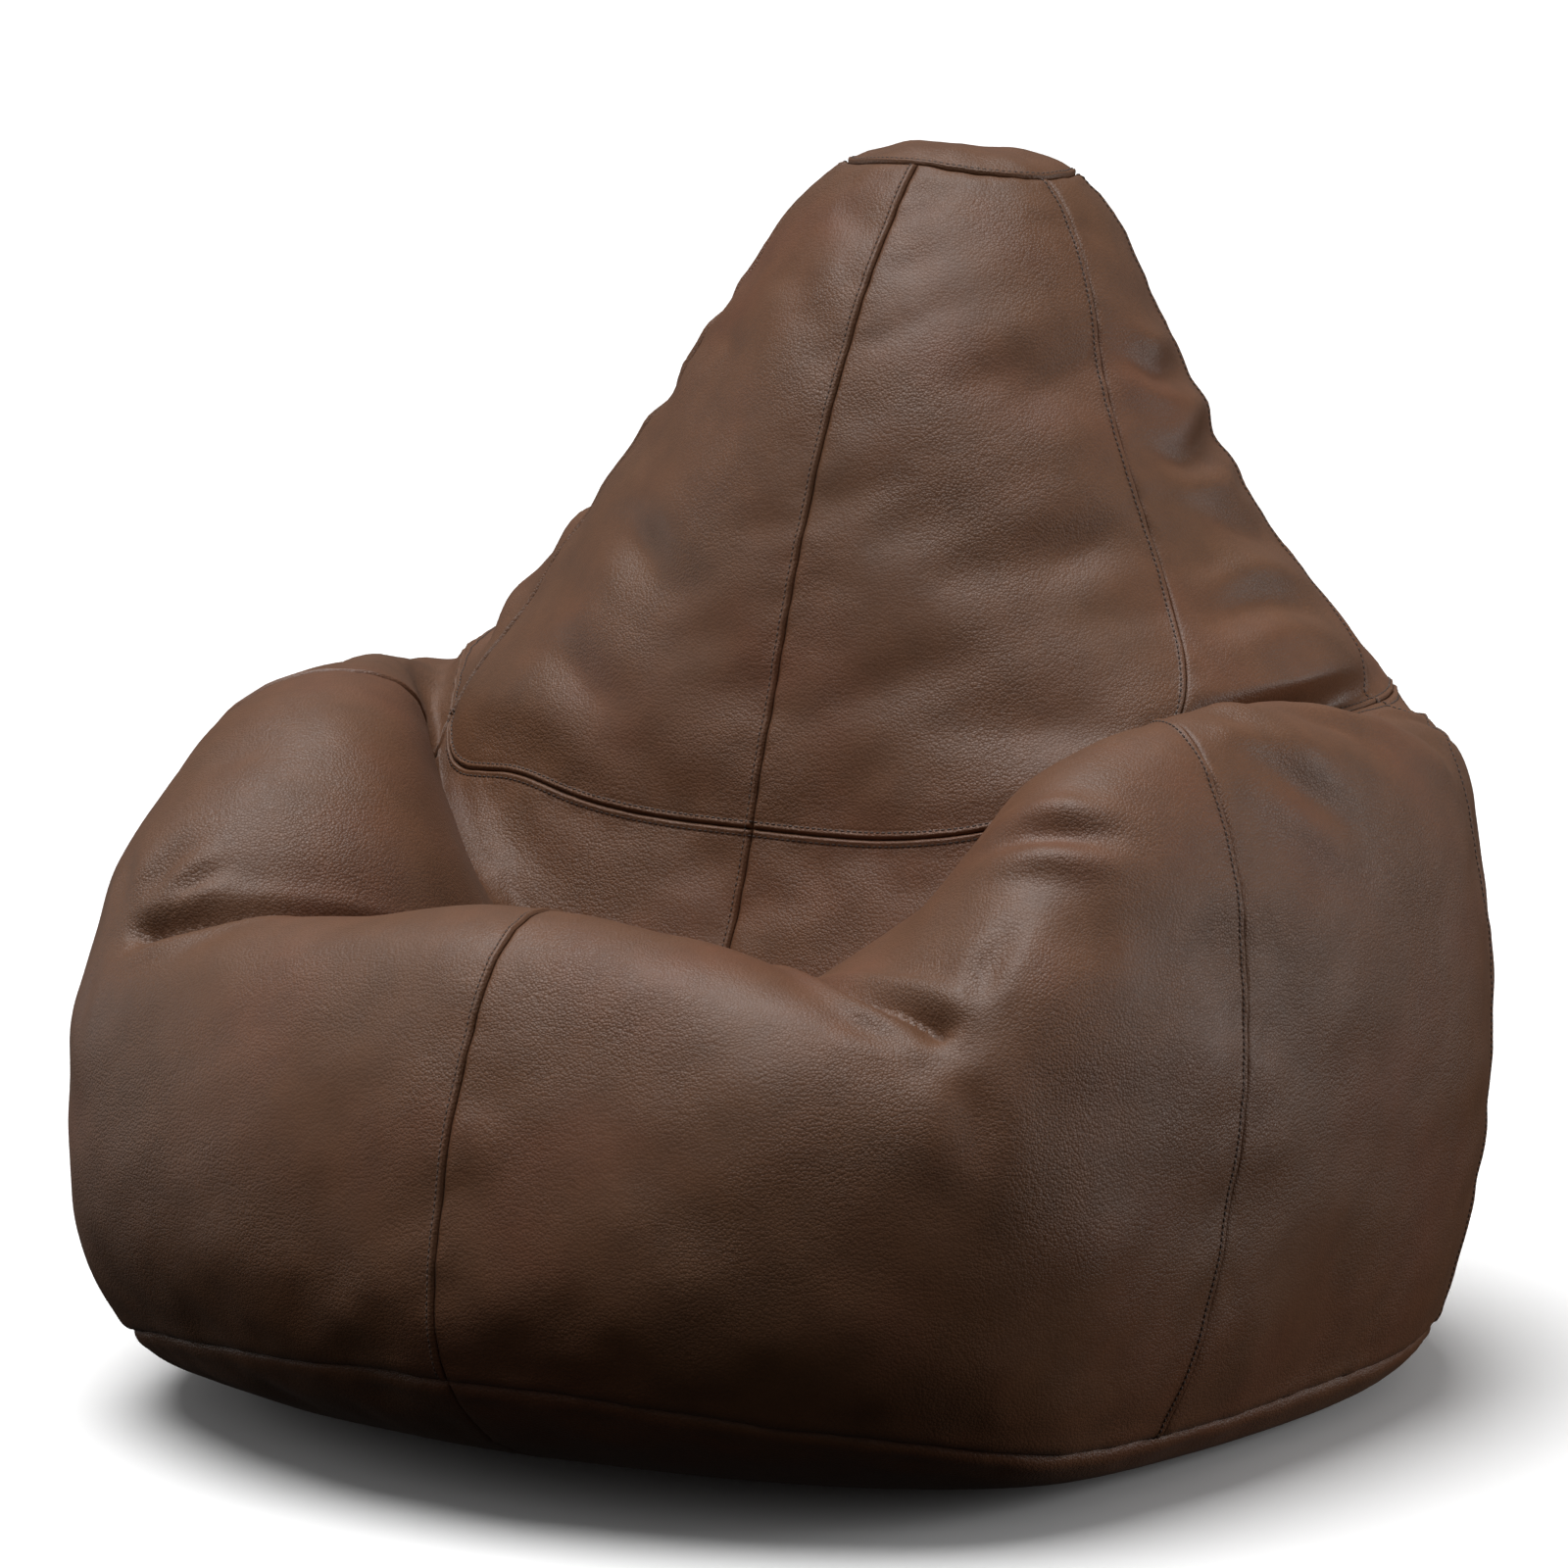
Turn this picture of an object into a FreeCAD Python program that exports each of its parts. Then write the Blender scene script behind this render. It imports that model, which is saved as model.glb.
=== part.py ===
"""Leather bean bag chair: a gored leather cover, an inner liner and a fill of beads.

Millimetres, +Z up. The origin is on the floor, under the middle of the chair's width and depth. The
chair faces -Y, and "right" in a name means the +X side.

The whole bag is one smooth closed surface. It is drawn by rings of control points, from the crown
down to the ring where the base lies flat on the floor. A ring runs from the front middle round the
right side to the back middle, and on round the left side. Every layer (leather, liner, fill) is that
surface moved inwards, and every panel is a patch of a layer between two seams.
"""
import FreeCAD, Part
import math
import os
import Sketcher
from FreeCAD import Vector

SIZES = [
    ("chair_width", 868.0, "over both arms"),
    ("chair_depth", 868.0, "front roll to back"),
    ("chair_height", 765.0, "floor to crown"),
    ("arm_difference", 24.0, "how much the slumped filling leaves one arm above the other, half"),
    ("leather", 1.4, "thickness of the cover leather"),
    ("cloth", 0.6, "thickness of the liner cloth"),
    ("layer_gap", 0.4, "air between leather, liner and fill"),
    ("seam_gap", 0.008, "gap left at a seam, in columns of the net"),
    ("zip_room", 3.2, "how far the cover zip keeps the liner off the base leather"),
    ("zip_middle", 48.0, "Y of the middle of both zips"),
    ("zip_opening", 376.0, "length of the slot that a zip closes"),
    ("slot_width", 13.0, "gap between the two edges that carry a zip"),
    ("tape_length", 396.0, "zip tape"),
    ("tape_width", 13.0, "one zip tape"),
    ("tape_thickness", 0.6, "one zip tape"),
    ("tape_edge", 2.5, "X of the edge of a tape that carries the teeth"),
    ("teeth_length", 360.0, "row of teeth"),
    ("tooth_pitch", 5.0, "from one tooth to the next"),
    ("tooth_length", 2.4, "one tooth, along the zip"),
    ("tooth_edge", 0.6, "X of the inner end of a tooth"),
    ("tooth_width", 1.9, "one tooth, across the zip"),
    ("teeth_height", 2.1, "teeth and the bead that they are moulded on"),
    ("slider_width", 11.0, "zip slider"),
    ("slider_length", 14.0, "zip slider"),
    ("slider_plate", 0.5, "thickness of each plate of a slider"),
    ("slider_inside", 2.5, "clear height between the plates of a slider"),
    ("slider_web", 0.6, "thickness of the web that joins the plates"),
    ("slider_corner", 2.5, "corner radius of a slider"),
    ("stop_width", 9.0, "zip end stop, across both tapes"),
    ("stop_length", 3.0, "zip end stop"),
    ("stop_height", 1.2, "zip end stop"),
    ("channel_width", 34.0, "hollow that the liner zip presses into the fill"),
    ("channel_length", 410.0, "hollow that the liner zip presses into the fill"),
    ("channel_top", 9.0, "Z of the top of that hollow"),
]

# The extents of the drawn shape, and the Y of the middle of its depth.
DRAWN = {"width": 868.0, "depth": 867.8, "height": 765.4, "middle_y": -17.8}

CROWN_CENTRE = 247.0
RING_ANGLES = (0, 18, 34, 48, 62, 88, 113, 136, 158, 180)
UPPER_ANGLES = (0, 19, 36, 51, 65, 89, 113, 136, 158, 180)
CROWN_ANGLES = (0, 20, 39, 54, 68, 90, 113, 136, 158, 180)

# How strongly the difference between the arms shows, by ring (counted from the crown) and by column.
LEAN_BY_RING = {9: 0.3, 10: 0.6, 11: 1.0, 12: 1.0, 13: 0.6, 14: 0.3}
LEAN_BY_COLUMN = {3: 0.3, 4: 0.8, 5: 1.0, 6: 0.8, 7: 0.4}

# Seams, as columns (round the bag) and rings (down it) of the net. A value between two whole
# numbers lies between two rings.
HALF = 9
COLUMNS = 2 * HALF
LINER_CROWN = 0.05
CAP_SEAM = 2.8
WAIST_SEAM = 8.5
BASE_SEAM = 16
FLOOR_RING = 19
GORES = {
    "front_right": (0, 4),
    "side_right": (4, 6),
    "rear_right": (6, 9),
    "rear_left": (9, 12),
    "side_left": (12, 14),
    "front_left": (14, 18),
}
LOWER_NAMES = {"front": "seat_front_panel", "side": "lower_side_panel", "rear": "lower_rear_panel"}
HALVES = {"right": (0, HALF), "left": (HALF, COLUMNS)}


# ------------------------------------------------------------------ the drawn shape of the bag

def oval_ring(centre_y, half_width, front, rear, heights, angles=RING_ANGLES):
    """Half of an egg-shaped outline whose height runs from heights[0] in front to heights[2]."""
    z_front, z_side, z_rear = heights
    points = []
    for angle in angles:
        across = math.sin(math.radians(angle))
        along = math.cos(math.radians(angle))
        reach, z_end = (front, z_front) if along > 0 else (rear, z_rear)
        z = z_side + (z_end - z_side) * along * along
        points.append((half_width * across, centre_y - reach * along, z))
    return points


def half_rings():
    """The rings of the right half, from the crown down, as drawn."""
    return [
        oval_ring(CROWN_CENTRE, 0, 0, 0, (764, 764, 764)),
        oval_ring(CROWN_CENTRE, 32, 26, 26, (766, 763, 758), CROWN_ANGLES),
        oval_ring(CROWN_CENTRE, 62, 48, 50, (765, 757, 745), CROWN_ANGLES),
        oval_ring(CROWN_CENTRE, 82, 66, 64, (757, 745, 730), CROWN_ANGLES),
        oval_ring(241, 115, 94, 88, (728, 716, 706), CROWN_ANGLES),
        oval_ring(226, 150, 130, 114, (672, 654, 646), UPPER_ANGLES),
        oval_ring(212, 188, 160, 156, (602, 587, 580)),
        oval_ring(206, 244, 190, 190, (524, 511, 505)),
        # just above and just below the waist seam
        [(0, -24, 424), (80, -26, 422), (150, -14, 420), (208, 12, 426), (258, 54, 436),
         (302, 150, 444), (316, 250, 436), (250, 345, 434), (135, 395, 430), (0, 408, 428)],
        [(0, -62, 298), (82, -64, 300), (155, -52, 314), (208, -32, 346), (255, 2, 385),
         (322, 122, 408), (342, 238, 400), (285, 338, 396), (150, 394, 392), (0, 410, 388)],
        # the bottom of the seat, and the crease where the arms meet the back
        [(0, -108, 212), (82, -106, 220), (155, -100, 262), (210, -80, 328), (262, -42, 396),
         (334, 88, 420), (368, 222, 396), (300, 332, 368), (157, 398, 358), (0, 414, 352)],
        # the inside of the front roll and of the arms
        [(0, -200, 238), (92, -198, 245), (182, -212, 296), (240, -182, 420), (300, -66, 462),
         (348, 50, 446), (386, 205, 400), (315, 333, 342), (164, 402, 326), (0, 418, 316)],
        # the top of the front roll and of the arms, pinched together at the third point
        [(0, -262, 372), (128, -262, 350), (248, -276, 320), (300, -238, 428), (350, -100, 456),
         (384, 36, 438), (412, 185, 376), (326, 330, 308), (168, 402, 286), (0, 422, 276)],
        [(0, -375, 378), (165, -362, 352), (296, -334, 318), (350, -268, 352), (390, -135, 370),
         (422, 34, 360), (430, 172, 314), (333, 325, 260), (172, 402, 238), (0, 424, 228)],
        [(0, -438, 245), (180, -422, 240), (308, -364, 232), (368, -290, 240), (406, -168, 252),
         (440, 32, 252), (441, 165, 232), (336, 320, 203), (172, 400, 184), (0, 422, 174)],
        [(0, -470, 150), (178, -440, 140), (302, -366, 122), (356, -298, 112), (388, -198, 110),
         (430, 22, 118), (431, 162, 120), (328, 312, 116), (168, 388, 106), (0, 414, 102)],
        # the base seam, with the nose of the base lifted off the floor
        [(0, -450, 97), (165, -412, 80), (282, -342, 58), (326, -282, 40), (350, -208, 28),
         (398, 18, 24), (403, 160, 24), (305, 304, 34), (158, 370, 38), (0, 396, 38)],
        [(0, -405, 46), (148, -368, 38), (254, -300, 24), (296, -244, 14), (318, -182, 6),
         (368, 14, 3), (371, 154, 3), (284, 290, 6), (148, 350, 8), (0, 376, 8)],
        # the last two rings lie on the floor
        [(0, -310, 10), (115, -288, 6), (208, -240, 0), (250, -190, 0), (274, -132, 0),
         (316, 14, 0), (316, 140, 0), (246, 260, 0), (130, 316, 0), (0, 340, 0)],
        [(0, -235, 0), (94, -222, 0), (170, -188, 0), (208, -148, 0), (230, -98, 0),
         (266, 12, 0), (266, 125, 0), (212, 228, 0), (112, 280, 0), (0, 300, 0)],
    ]


def drawn_net(size):
    """The control net of the outer leather: a list of columns, each a list of points."""
    stretch_x = size["chair_width"] / DRAWN["width"]
    stretch_y = size["chair_depth"] / DRAWN["depth"]
    stretch_z = size["chair_height"] / DRAWN["height"]
    rings = half_rings()
    net = []
    for column in range(COLUMNS):
        side = 1 if column <= HALF else -1
        place = column if column <= HALF else COLUMNS - column
        points = []
        for ring, outline in enumerate(rings):
            x, y, z = outline[place]
            lean = LEAN_BY_RING.get(ring, 0) * LEAN_BY_COLUMN.get(place, 0)
            z_leaning = z * stretch_z + side * lean * size["arm_difference"]
            points.append(Vector(side * x * stretch_x, (y - DRAWN["middle_y"]) * stretch_y, z_leaning))
        net.append(points)
    return net


def net_normals(net):
    """The outward direction at each point of the net; straight down on the floor ring."""
    last = len(net[0]) - 1
    normals = []
    for column in range(COLUMNS):
        after = net[(column + 1) % COLUMNS]
        before = net[(column - 1) % COLUMNS]
        line = [Vector(0, 0, 0)]
        for ring in range(1, last):
            around = after[ring] - before[ring]
            down = net[column][ring + 1] - net[column][ring - 1]
            line.append(down.cross(around).normalize())
        line.append(Vector(0, 0, -1))
        normals.append(line)
    crown = Vector(0, 0, 0)
    for line in normals:
        crown = crown + line[1]
    for line in normals:
        line[0] = Vector(crown).normalize()
    return normals


def layer_net(net, normals, depth, lift=0.0):
    """The net moved inwards by depth, its flat floor rings also lifted."""
    last = len(net[0]) - 1
    share = {last - 2: 0.5, last - 1: 1.0, last: 1.0}
    layer = []
    for points, directions in zip(net, normals):
        line = []
        for ring, (point, normal) in enumerate(zip(points, directions)):
            line.append(point - normal * depth + Vector(0, 0, lift * share.get(ring, 0)))
        layer.append(line)
    return layer


def net_surface(net):
    """A smooth surface over the net: (column, ring) of the net are its two parameters."""
    poles = []
    for column in range(-1, COLUMNS + 2):
        line = net[column % COLUMNS]
        above = line[0] * 2 - line[1]
        below = line[-1] * 2 - line[-2]
        poles.append([above] + line + [below])
    across = len(poles) + 4
    down = len(poles[0]) + 4
    surface = Part.BSplineSurface()
    surface.buildFromPolesMultsKnots(
        poles, [1] * across, [1] * down,
        [float(knot - 3) for knot in range(across)],
        [float(knot - 3) for knot in range(down)],
        False, False, 3, 3)
    return surface


# ------------------------------------------------------------------ sheets cut from the surface

def patch(surface, columns, rings):
    piece = surface.copy()
    piece.segment(columns[0], columns[1], rings[0], rings[1])
    return piece


def wall(outer_curve, inner_curve):
    """The strip of straight lines from one curve to its fellow on another layer."""
    strip = Part.BSplineSurface()
    strip.buildFromPolesMultsKnots(
        [outer_curve.getPoles(), inner_curve.getPoles()],
        [2, 2], outer_curve.getMultiplicities(),
        [0.0, 1.0], outer_curve.getKnots(),
        False, False, 1, outer_curve.Degree)
    return strip.toShape()


def closed_solid(faces):
    """Sew faces that meet edge to edge into one solid."""
    skin = Part.makeCompound(faces)
    skin.sewShape(0.001)
    solid = Part.makeSolid(skin.Shells[0])
    if solid.Volume < 0:
        solid.reverse()
    return solid


def panel(outer, inner, columns, rings):
    """A sheet between two layers, bounded by two columns and two rings."""
    front = patch(outer, columns, rings)
    back = patch(inner, columns, rings)
    faces = [front.toShape(), back.toShape()]
    for column in columns:
        faces.append(wall(front.uIso(column), back.uIso(column)))
    for ring in rings:
        faces.append(wall(front.vIso(ring), back.vIso(ring)))
    return closed_solid(faces)


def floor_sheet(outer, inner, columns, rings):
    """Half of a sheet whose bottom lies flat inside the floor ring."""
    front = patch(outer, columns, rings)
    back = patch(inner, columns, rings)
    faces = [front.toShape(), back.toShape()]
    for column in columns:
        faces.append(wall(front.uIso(column), back.uIso(column)))
    faces.append(wall(front.vIso(rings[0]), back.vIso(rings[0])))
    ends = []
    for layer in (front, back):
        rim = layer.vIso(rings[1])
        start, end = rim.getPoles()[0], rim.getPoles()[-1]
        faces.append(Part.Face(Part.Wire([rim.toShape(), Part.makeLine(end, start)])))
        ends += [start, end]
    middle = Part.makePolygon([ends[0], ends[1], ends[3], ends[2], ends[0]])
    faces.append(Part.Face(middle))
    return closed_solid(faces)


def crown_cap(outer, inner):
    """The round panel that closes the crown."""
    faces = []
    for columns in HALVES.values():
        top = patch(outer, columns, (0, CAP_SEAM))
        under = patch(inner, columns, (0, CAP_SEAM))
        faces += [top.toShape(), under.toShape(), wall(top.vIso(CAP_SEAM), under.vIso(CAP_SEAM))]
    return closed_solid(faces)


def filled_bag(surface):
    """Everything inside a layer, with a flat bottom."""
    faces = []
    rim = []
    for columns in HALVES.values():
        side = patch(surface, columns, (0, FLOOR_RING))
        faces.append(side.toShape())
        rim.append(side.vIso(FLOOR_RING).toShape())
    faces.append(Part.Face(Part.Wire(rim)))
    return closed_solid(faces)


# ------------------------------------------------------------------ the document

def make_sheet(document):
    sheet = document.addObject("Spreadsheet::Sheet", "Sizes")
    for row, (alias, value, meaning) in enumerate(SIZES, start=1):
        sheet.set(f"A{row}", alias)
        sheet.set(f"B{row}", str(value))
        sheet.set(f"C{row}", meaning)
        sheet.setAlias(f"B{row}", alias)
    document.recompute()
    return sheet


def bind(thing, **expressions):
    """Bind properties to expressions; a double underscore in a name stands for a dot."""
    for name, expression in expressions.items():
        thing.setExpression(name.replace("__", "."), expression)


def add_shape(document, name, shape):
    feature = document.addObject("Part::Feature", name)
    feature.Shape = shape
    feature.Label = name
    return feature


def add_box(document, name, width, length, top, bottom="0"):
    """A box centred on X = 0 and on the middle of the zips."""
    box = document.addObject("Part::Box", name)
    bind(box, Length=width, Width=length, Height=f"{top} - ({bottom})",
         Placement__Base__x=f"-({width}) / 2",
         Placement__Base__y=f"Sizes.zip_middle - ({length}) / 2",
         Placement__Base__z=bottom)
    return box


def add_cut(document, name, base, tool):
    cut = document.addObject("Part::Cut", name + "_cut")
    cut.Base = base
    cut.Tool = tool
    cut.Label = name
    return cut


# ------------------------------------------------------------------ zips

def add_body(document, name):
    body = document.addObject("PartDesign::Body", name)
    body.Label = name
    return body


def origin_feature(body, role):
    return next(item for item in body.Origin.OriginFeatures if item.Role == role)


def padded_rectangle(body, name, width, length, height, corner):
    """A rectangle pad; corner holds expressions for the X, Y and Z of its lowest corner."""
    sketch = body.newObject("Sketcher::SketchObject", name + "_outline")
    sketch.AttachmentSupport = [(origin_feature(body, "XY_Plane"), "")]
    sketch.MapMode = "FlatFace"
    corners = [Vector(0, 0, 0), Vector(5, 0, 0), Vector(5, 8, 0), Vector(0, 8, 0)]
    for start in range(4):
        sketch.addGeometry(Part.LineSegment(corners[start], corners[(start + 1) % 4]), False)
    for line in range(4):
        sketch.addConstraint(Sketcher.Constraint("Coincident", line, 2, (line + 1) % 4, 1))
    for line, direction in enumerate(("Horizontal", "Vertical", "Horizontal", "Vertical")):
        sketch.addConstraint(Sketcher.Constraint(direction, line))
    sketch.addConstraint(Sketcher.Constraint("Coincident", 0, 1, -1, 1))
    wide = sketch.addConstraint(Sketcher.Constraint("DistanceX", 0, 1, 0, 2, 5))
    deep = sketch.addConstraint(Sketcher.Constraint("DistanceY", 1, 1, 1, 2, 8))
    sketch.renameConstraint(wide, "wide")
    sketch.renameConstraint(deep, "deep")
    bind(sketch, Constraints__wide=width, Constraints__deep=length,
         AttachmentOffset__Base__x=corner[0],
         AttachmentOffset__Base__y=corner[1],
         AttachmentOffset__Base__z=corner[2])
    pad = body.newObject("PartDesign::Pad", name)
    pad.Profile = sketch
    bind(pad, Length=height)
    body.Tip = pad
    return pad


def repeat_along_zip(body, pad, name, length, count):
    """Repeat a pad along Y, count times over a length."""
    pattern = body.newObject("PartDesign::LinearPattern", name)
    pattern.Originals = [pad]
    pattern.Direction = (origin_feature(body, "Y_Axis"), [""])
    bind(pattern, Length=length, Occurrences=count)
    body.Tip = pattern
    return pattern


def side_corner(side, edge, width):
    """X of the lower corner of a strip that starts at edge and runs outwards on one side."""
    return edge if side == "right" else f"-({edge}) - ({width})"


def add_zip(document, name, face):
    """Tapes, teeth, end stops and slider of a zip sewn on a sheet whose inner face is at Z face."""
    above = f"({face} + 0.05)"
    tape_top = f"({above} + Sizes.tape_thickness)"
    teeth_bottom = f"({above} - 0.6)"
    teeth_start = "Sizes.zip_middle - Sizes.teeth_length / 2"
    bead_width = "Sizes.tape_edge - Sizes.tooth_edge - Sizes.tooth_width + 0.8"
    nodes = []
    for side in ("left", "right"):
        tape = add_body(document, f"{name}_tape_{side}")
        tape_x = side_corner(side, "Sizes.tape_edge + 1", "Sizes.tape_width")
        padded_rectangle(tape, f"{name}_{side}_strip", "Sizes.tape_width", "Sizes.tape_length",
                         "Sizes.tape_thickness",
                         (tape_x, "Sizes.zip_middle - Sizes.tape_length / 2", above))
        nodes.append(tape)

        teeth = add_body(document, f"{name}_teeth_{side}")
        bead_x = side_corner(side, "Sizes.tooth_edge + Sizes.tooth_width", bead_width)
        padded_rectangle(teeth, f"{name}_{side}_bead", bead_width, "Sizes.teeth_length",
                         "Sizes.teeth_height", (bead_x, teeth_start, teeth_bottom))
        tooth_x = side_corner(side, "Sizes.tooth_edge", "Sizes.tooth_width")
        tooth = padded_rectangle(teeth, f"{name}_{side}_tooth", "Sizes.tooth_width",
                                 "Sizes.tooth_length", "Sizes.teeth_height",
                                 (tooth_x, teeth_start, teeth_bottom))
        repeat_along_zip(teeth, tooth, f"{name}_{side}_row",
                         "Sizes.teeth_length - Sizes.tooth_pitch",
                         "Sizes.teeth_length / Sizes.tooth_pitch")
        nodes.append(teeth)

    stops = add_body(document, f"{name}_end_stops")
    stop = padded_rectangle(stops, f"{name}_stop", "Sizes.stop_width", "Sizes.stop_length",
                            "Sizes.stop_height",
                            ("-Sizes.stop_width / 2", f"{teeth_start} - 2 * Sizes.stop_length",
                             f"({tape_top} + 0.02)"))
    repeat_along_zip(stops, stop, f"{name}_stop_pair",
                     "Sizes.teeth_length + 3 * Sizes.stop_length", "2")
    nodes.append(stops)
    nodes.append(add_slider(document, f"{name}_slider", teeth_bottom))
    return nodes


def add_slider(document, name, teeth_bottom):
    """Two plates joined by a thin web that runs between the rows of teeth; closed end at +Y."""
    body = add_body(document, name)
    inside_bottom = f"({teeth_bottom} - (Sizes.slider_inside - Sizes.teeth_height) / 2)"
    front = "Sizes.zip_middle + Sizes.teeth_length / 2 - Sizes.slider_length"
    plate_x = "-Sizes.slider_width / 2"
    padded_rectangle(body, name + "_lower_plate", "Sizes.slider_width", "Sizes.slider_length",
                     "Sizes.slider_plate",
                     (plate_x, front, f"{inside_bottom} - Sizes.slider_plate"))
    padded_rectangle(body, name + "_web", "Sizes.slider_web", "Sizes.slider_length / 2",
                     "Sizes.slider_inside",
                     ("-Sizes.slider_web / 2", f"{front} + Sizes.slider_length / 4", inside_bottom))
    padded_rectangle(body, name + "_upper_plate", "Sizes.slider_width", "Sizes.slider_length",
                     "Sizes.slider_plate",
                     (plate_x, front, f"{inside_bottom} + Sizes.slider_inside"))
    document.recompute()
    plates = body.Tip
    upright = [f"Edge{number}" for number, edge in enumerate(plates.Shape.Edges, start=1)
               if abs(edge.tangentAt(edge.FirstParameter).z) > 0.99
               and abs(edge.Vertexes[0].Point.x) > 1]
    corners = body.newObject("PartDesign::Fillet", name + "_corners")
    corners.Base = (plates, upright)
    bind(corners, Radius="Sizes.slider_corner")
    body.Tip = corners
    return body


# ------------------------------------------------------------------ the chair

def add_cover(document, size, layers):
    """The leather cover: a cap, six gores in two tiers, and a base in two halves."""
    outer, inner = layers
    gap = size["seam_gap"]
    nodes = [add_shape(document, "top_cap", crown_cap(outer, inner))]
    for gore, (start, end) in GORES.items():
        columns = (start + gap, end - gap)
        upper = panel(outer, inner, columns, (CAP_SEAM + 2 * gap, WAIST_SEAM - gap))
        lower = panel(outer, inner, columns, (WAIST_SEAM + gap, BASE_SEAM - gap))
        place, side = gore.split("_")
        nodes.append(add_shape(document, f"back_panel_{gore}", upper))
        nodes.append(add_shape(document, f"{LOWER_NAMES[place]}_{side}", lower))
    slot = add_box(document, "cover_slot", "Sizes.slot_width", "Sizes.zip_opening", "3", "-1")
    for side, (start, end) in HALVES.items():
        half = floor_sheet(outer, inner, (start + gap, end - gap), (BASE_SEAM + gap, FLOOR_RING))
        blank = add_shape(document, f"base_blank_{side}", half)
        nodes.append(add_cut(document, f"base_panel_{side}", blank, slot))
    return nodes


def add_liner(document, size, layers):
    """The liner: two halves of thin cloth, gathered at the crown, with a slot for their zip."""
    outer, inner = layers
    gap = size["seam_gap"]
    floor = "Sizes.leather + Sizes.zip_room"
    slot = add_box(document, "liner_slot", "Sizes.slot_width", "Sizes.zip_opening",
                   f"{floor} + 3", floor)
    nodes = []
    for side, (start, end) in HALVES.items():
        half = floor_sheet(outer, inner, (start + gap, end - gap), (LINER_CROWN, FLOOR_RING))
        blank = add_shape(document, f"liner_blank_{side}", half)
        nodes.append(add_cut(document, f"inner_liner_{side}", blank, slot))
    return nodes


def add_fill(document, surface):
    """The beads, as one soft body, hollowed over the liner zip."""
    beads = add_shape(document, "bead_blank", filled_bag(surface))
    channel = add_box(document, "fill_channel", "Sizes.channel_width", "Sizes.channel_length",
                      "Sizes.channel_top")
    return add_cut(document, "bead_fill", beads, channel)


def check_document(document, nodes):
    for thing in document.Objects:
        if "Invalid" in thing.State or "Error" in thing.State:
            raise RuntimeError(f"{thing.Name} failed: {thing.State}")
    for node in nodes:
        if node.Shape.isNull() or not node.Shape.isValid():
            raise RuntimeError(f"{node.Label} has no valid shape")


def main():
    document = FreeCAD.newDocument("BeanBagChair")
    sheet = make_sheet(document)
    size = {alias: float(sheet.get(alias)) for alias, _, _ in SIZES}

    net = drawn_net(size)
    normals = net_normals(net)
    liner_depth = size["leather"] + size["layer_gap"]
    fill_depth = liner_depth + size["cloth"] + size["layer_gap"]

    def layer(depth, lift=0.0):
        return net_surface(layer_net(net, normals, depth, lift))

    leather = (layer(0.0), layer(size["leather"]))
    liner = (layer(liner_depth, size["zip_room"]),
             layer(liner_depth + size["cloth"], size["zip_room"]))

    nodes = add_cover(document, size, leather)
    nodes += add_liner(document, size, liner)
    nodes.append(add_fill(document, layer(fill_depth, size["zip_room"])))
    nodes += add_zip(document, "cover_zip", "Sizes.leather")
    nodes += add_zip(document, "liner_zip",
                     "Sizes.leather + Sizes.layer_gap + Sizes.cloth + Sizes.zip_room")

    document.recompute()
    check_document(document, nodes)
    os.makedirs("parts", exist_ok=True)
    for node in nodes:
        node.Shape.exportStep(f"parts/{node.Label}.step")
    print(len(nodes), "nodes written")


main()
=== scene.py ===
"""Looks of the leather bean bag chair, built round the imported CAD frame. Metres, +Z up, facing -Y."""
import math
import bmesh
import bpy
import numpy as np
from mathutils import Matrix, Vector


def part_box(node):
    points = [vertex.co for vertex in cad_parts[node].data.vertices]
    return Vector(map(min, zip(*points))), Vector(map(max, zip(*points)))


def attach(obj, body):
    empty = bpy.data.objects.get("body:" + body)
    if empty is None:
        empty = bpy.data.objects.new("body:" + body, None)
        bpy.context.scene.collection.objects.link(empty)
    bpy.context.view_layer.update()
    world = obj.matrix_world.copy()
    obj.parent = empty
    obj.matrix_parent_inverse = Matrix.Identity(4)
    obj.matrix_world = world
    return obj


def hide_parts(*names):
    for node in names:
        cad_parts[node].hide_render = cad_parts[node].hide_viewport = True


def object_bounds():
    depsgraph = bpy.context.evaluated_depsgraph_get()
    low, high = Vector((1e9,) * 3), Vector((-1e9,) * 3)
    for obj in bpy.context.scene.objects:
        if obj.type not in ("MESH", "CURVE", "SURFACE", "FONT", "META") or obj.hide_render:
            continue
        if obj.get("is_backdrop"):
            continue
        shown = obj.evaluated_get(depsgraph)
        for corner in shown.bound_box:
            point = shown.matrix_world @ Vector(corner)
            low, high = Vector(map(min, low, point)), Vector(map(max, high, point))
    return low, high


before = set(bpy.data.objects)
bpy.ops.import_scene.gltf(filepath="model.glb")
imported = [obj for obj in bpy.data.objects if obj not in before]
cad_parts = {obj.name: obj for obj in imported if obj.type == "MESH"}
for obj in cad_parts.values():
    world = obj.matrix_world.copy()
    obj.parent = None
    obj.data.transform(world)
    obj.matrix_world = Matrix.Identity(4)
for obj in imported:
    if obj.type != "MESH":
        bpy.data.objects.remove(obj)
cad_low, cad_high = (Vector(corner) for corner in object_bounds())
MM = 0.001

# ------------------------------------------------------------------ the drawn shape, as in part.py

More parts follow.
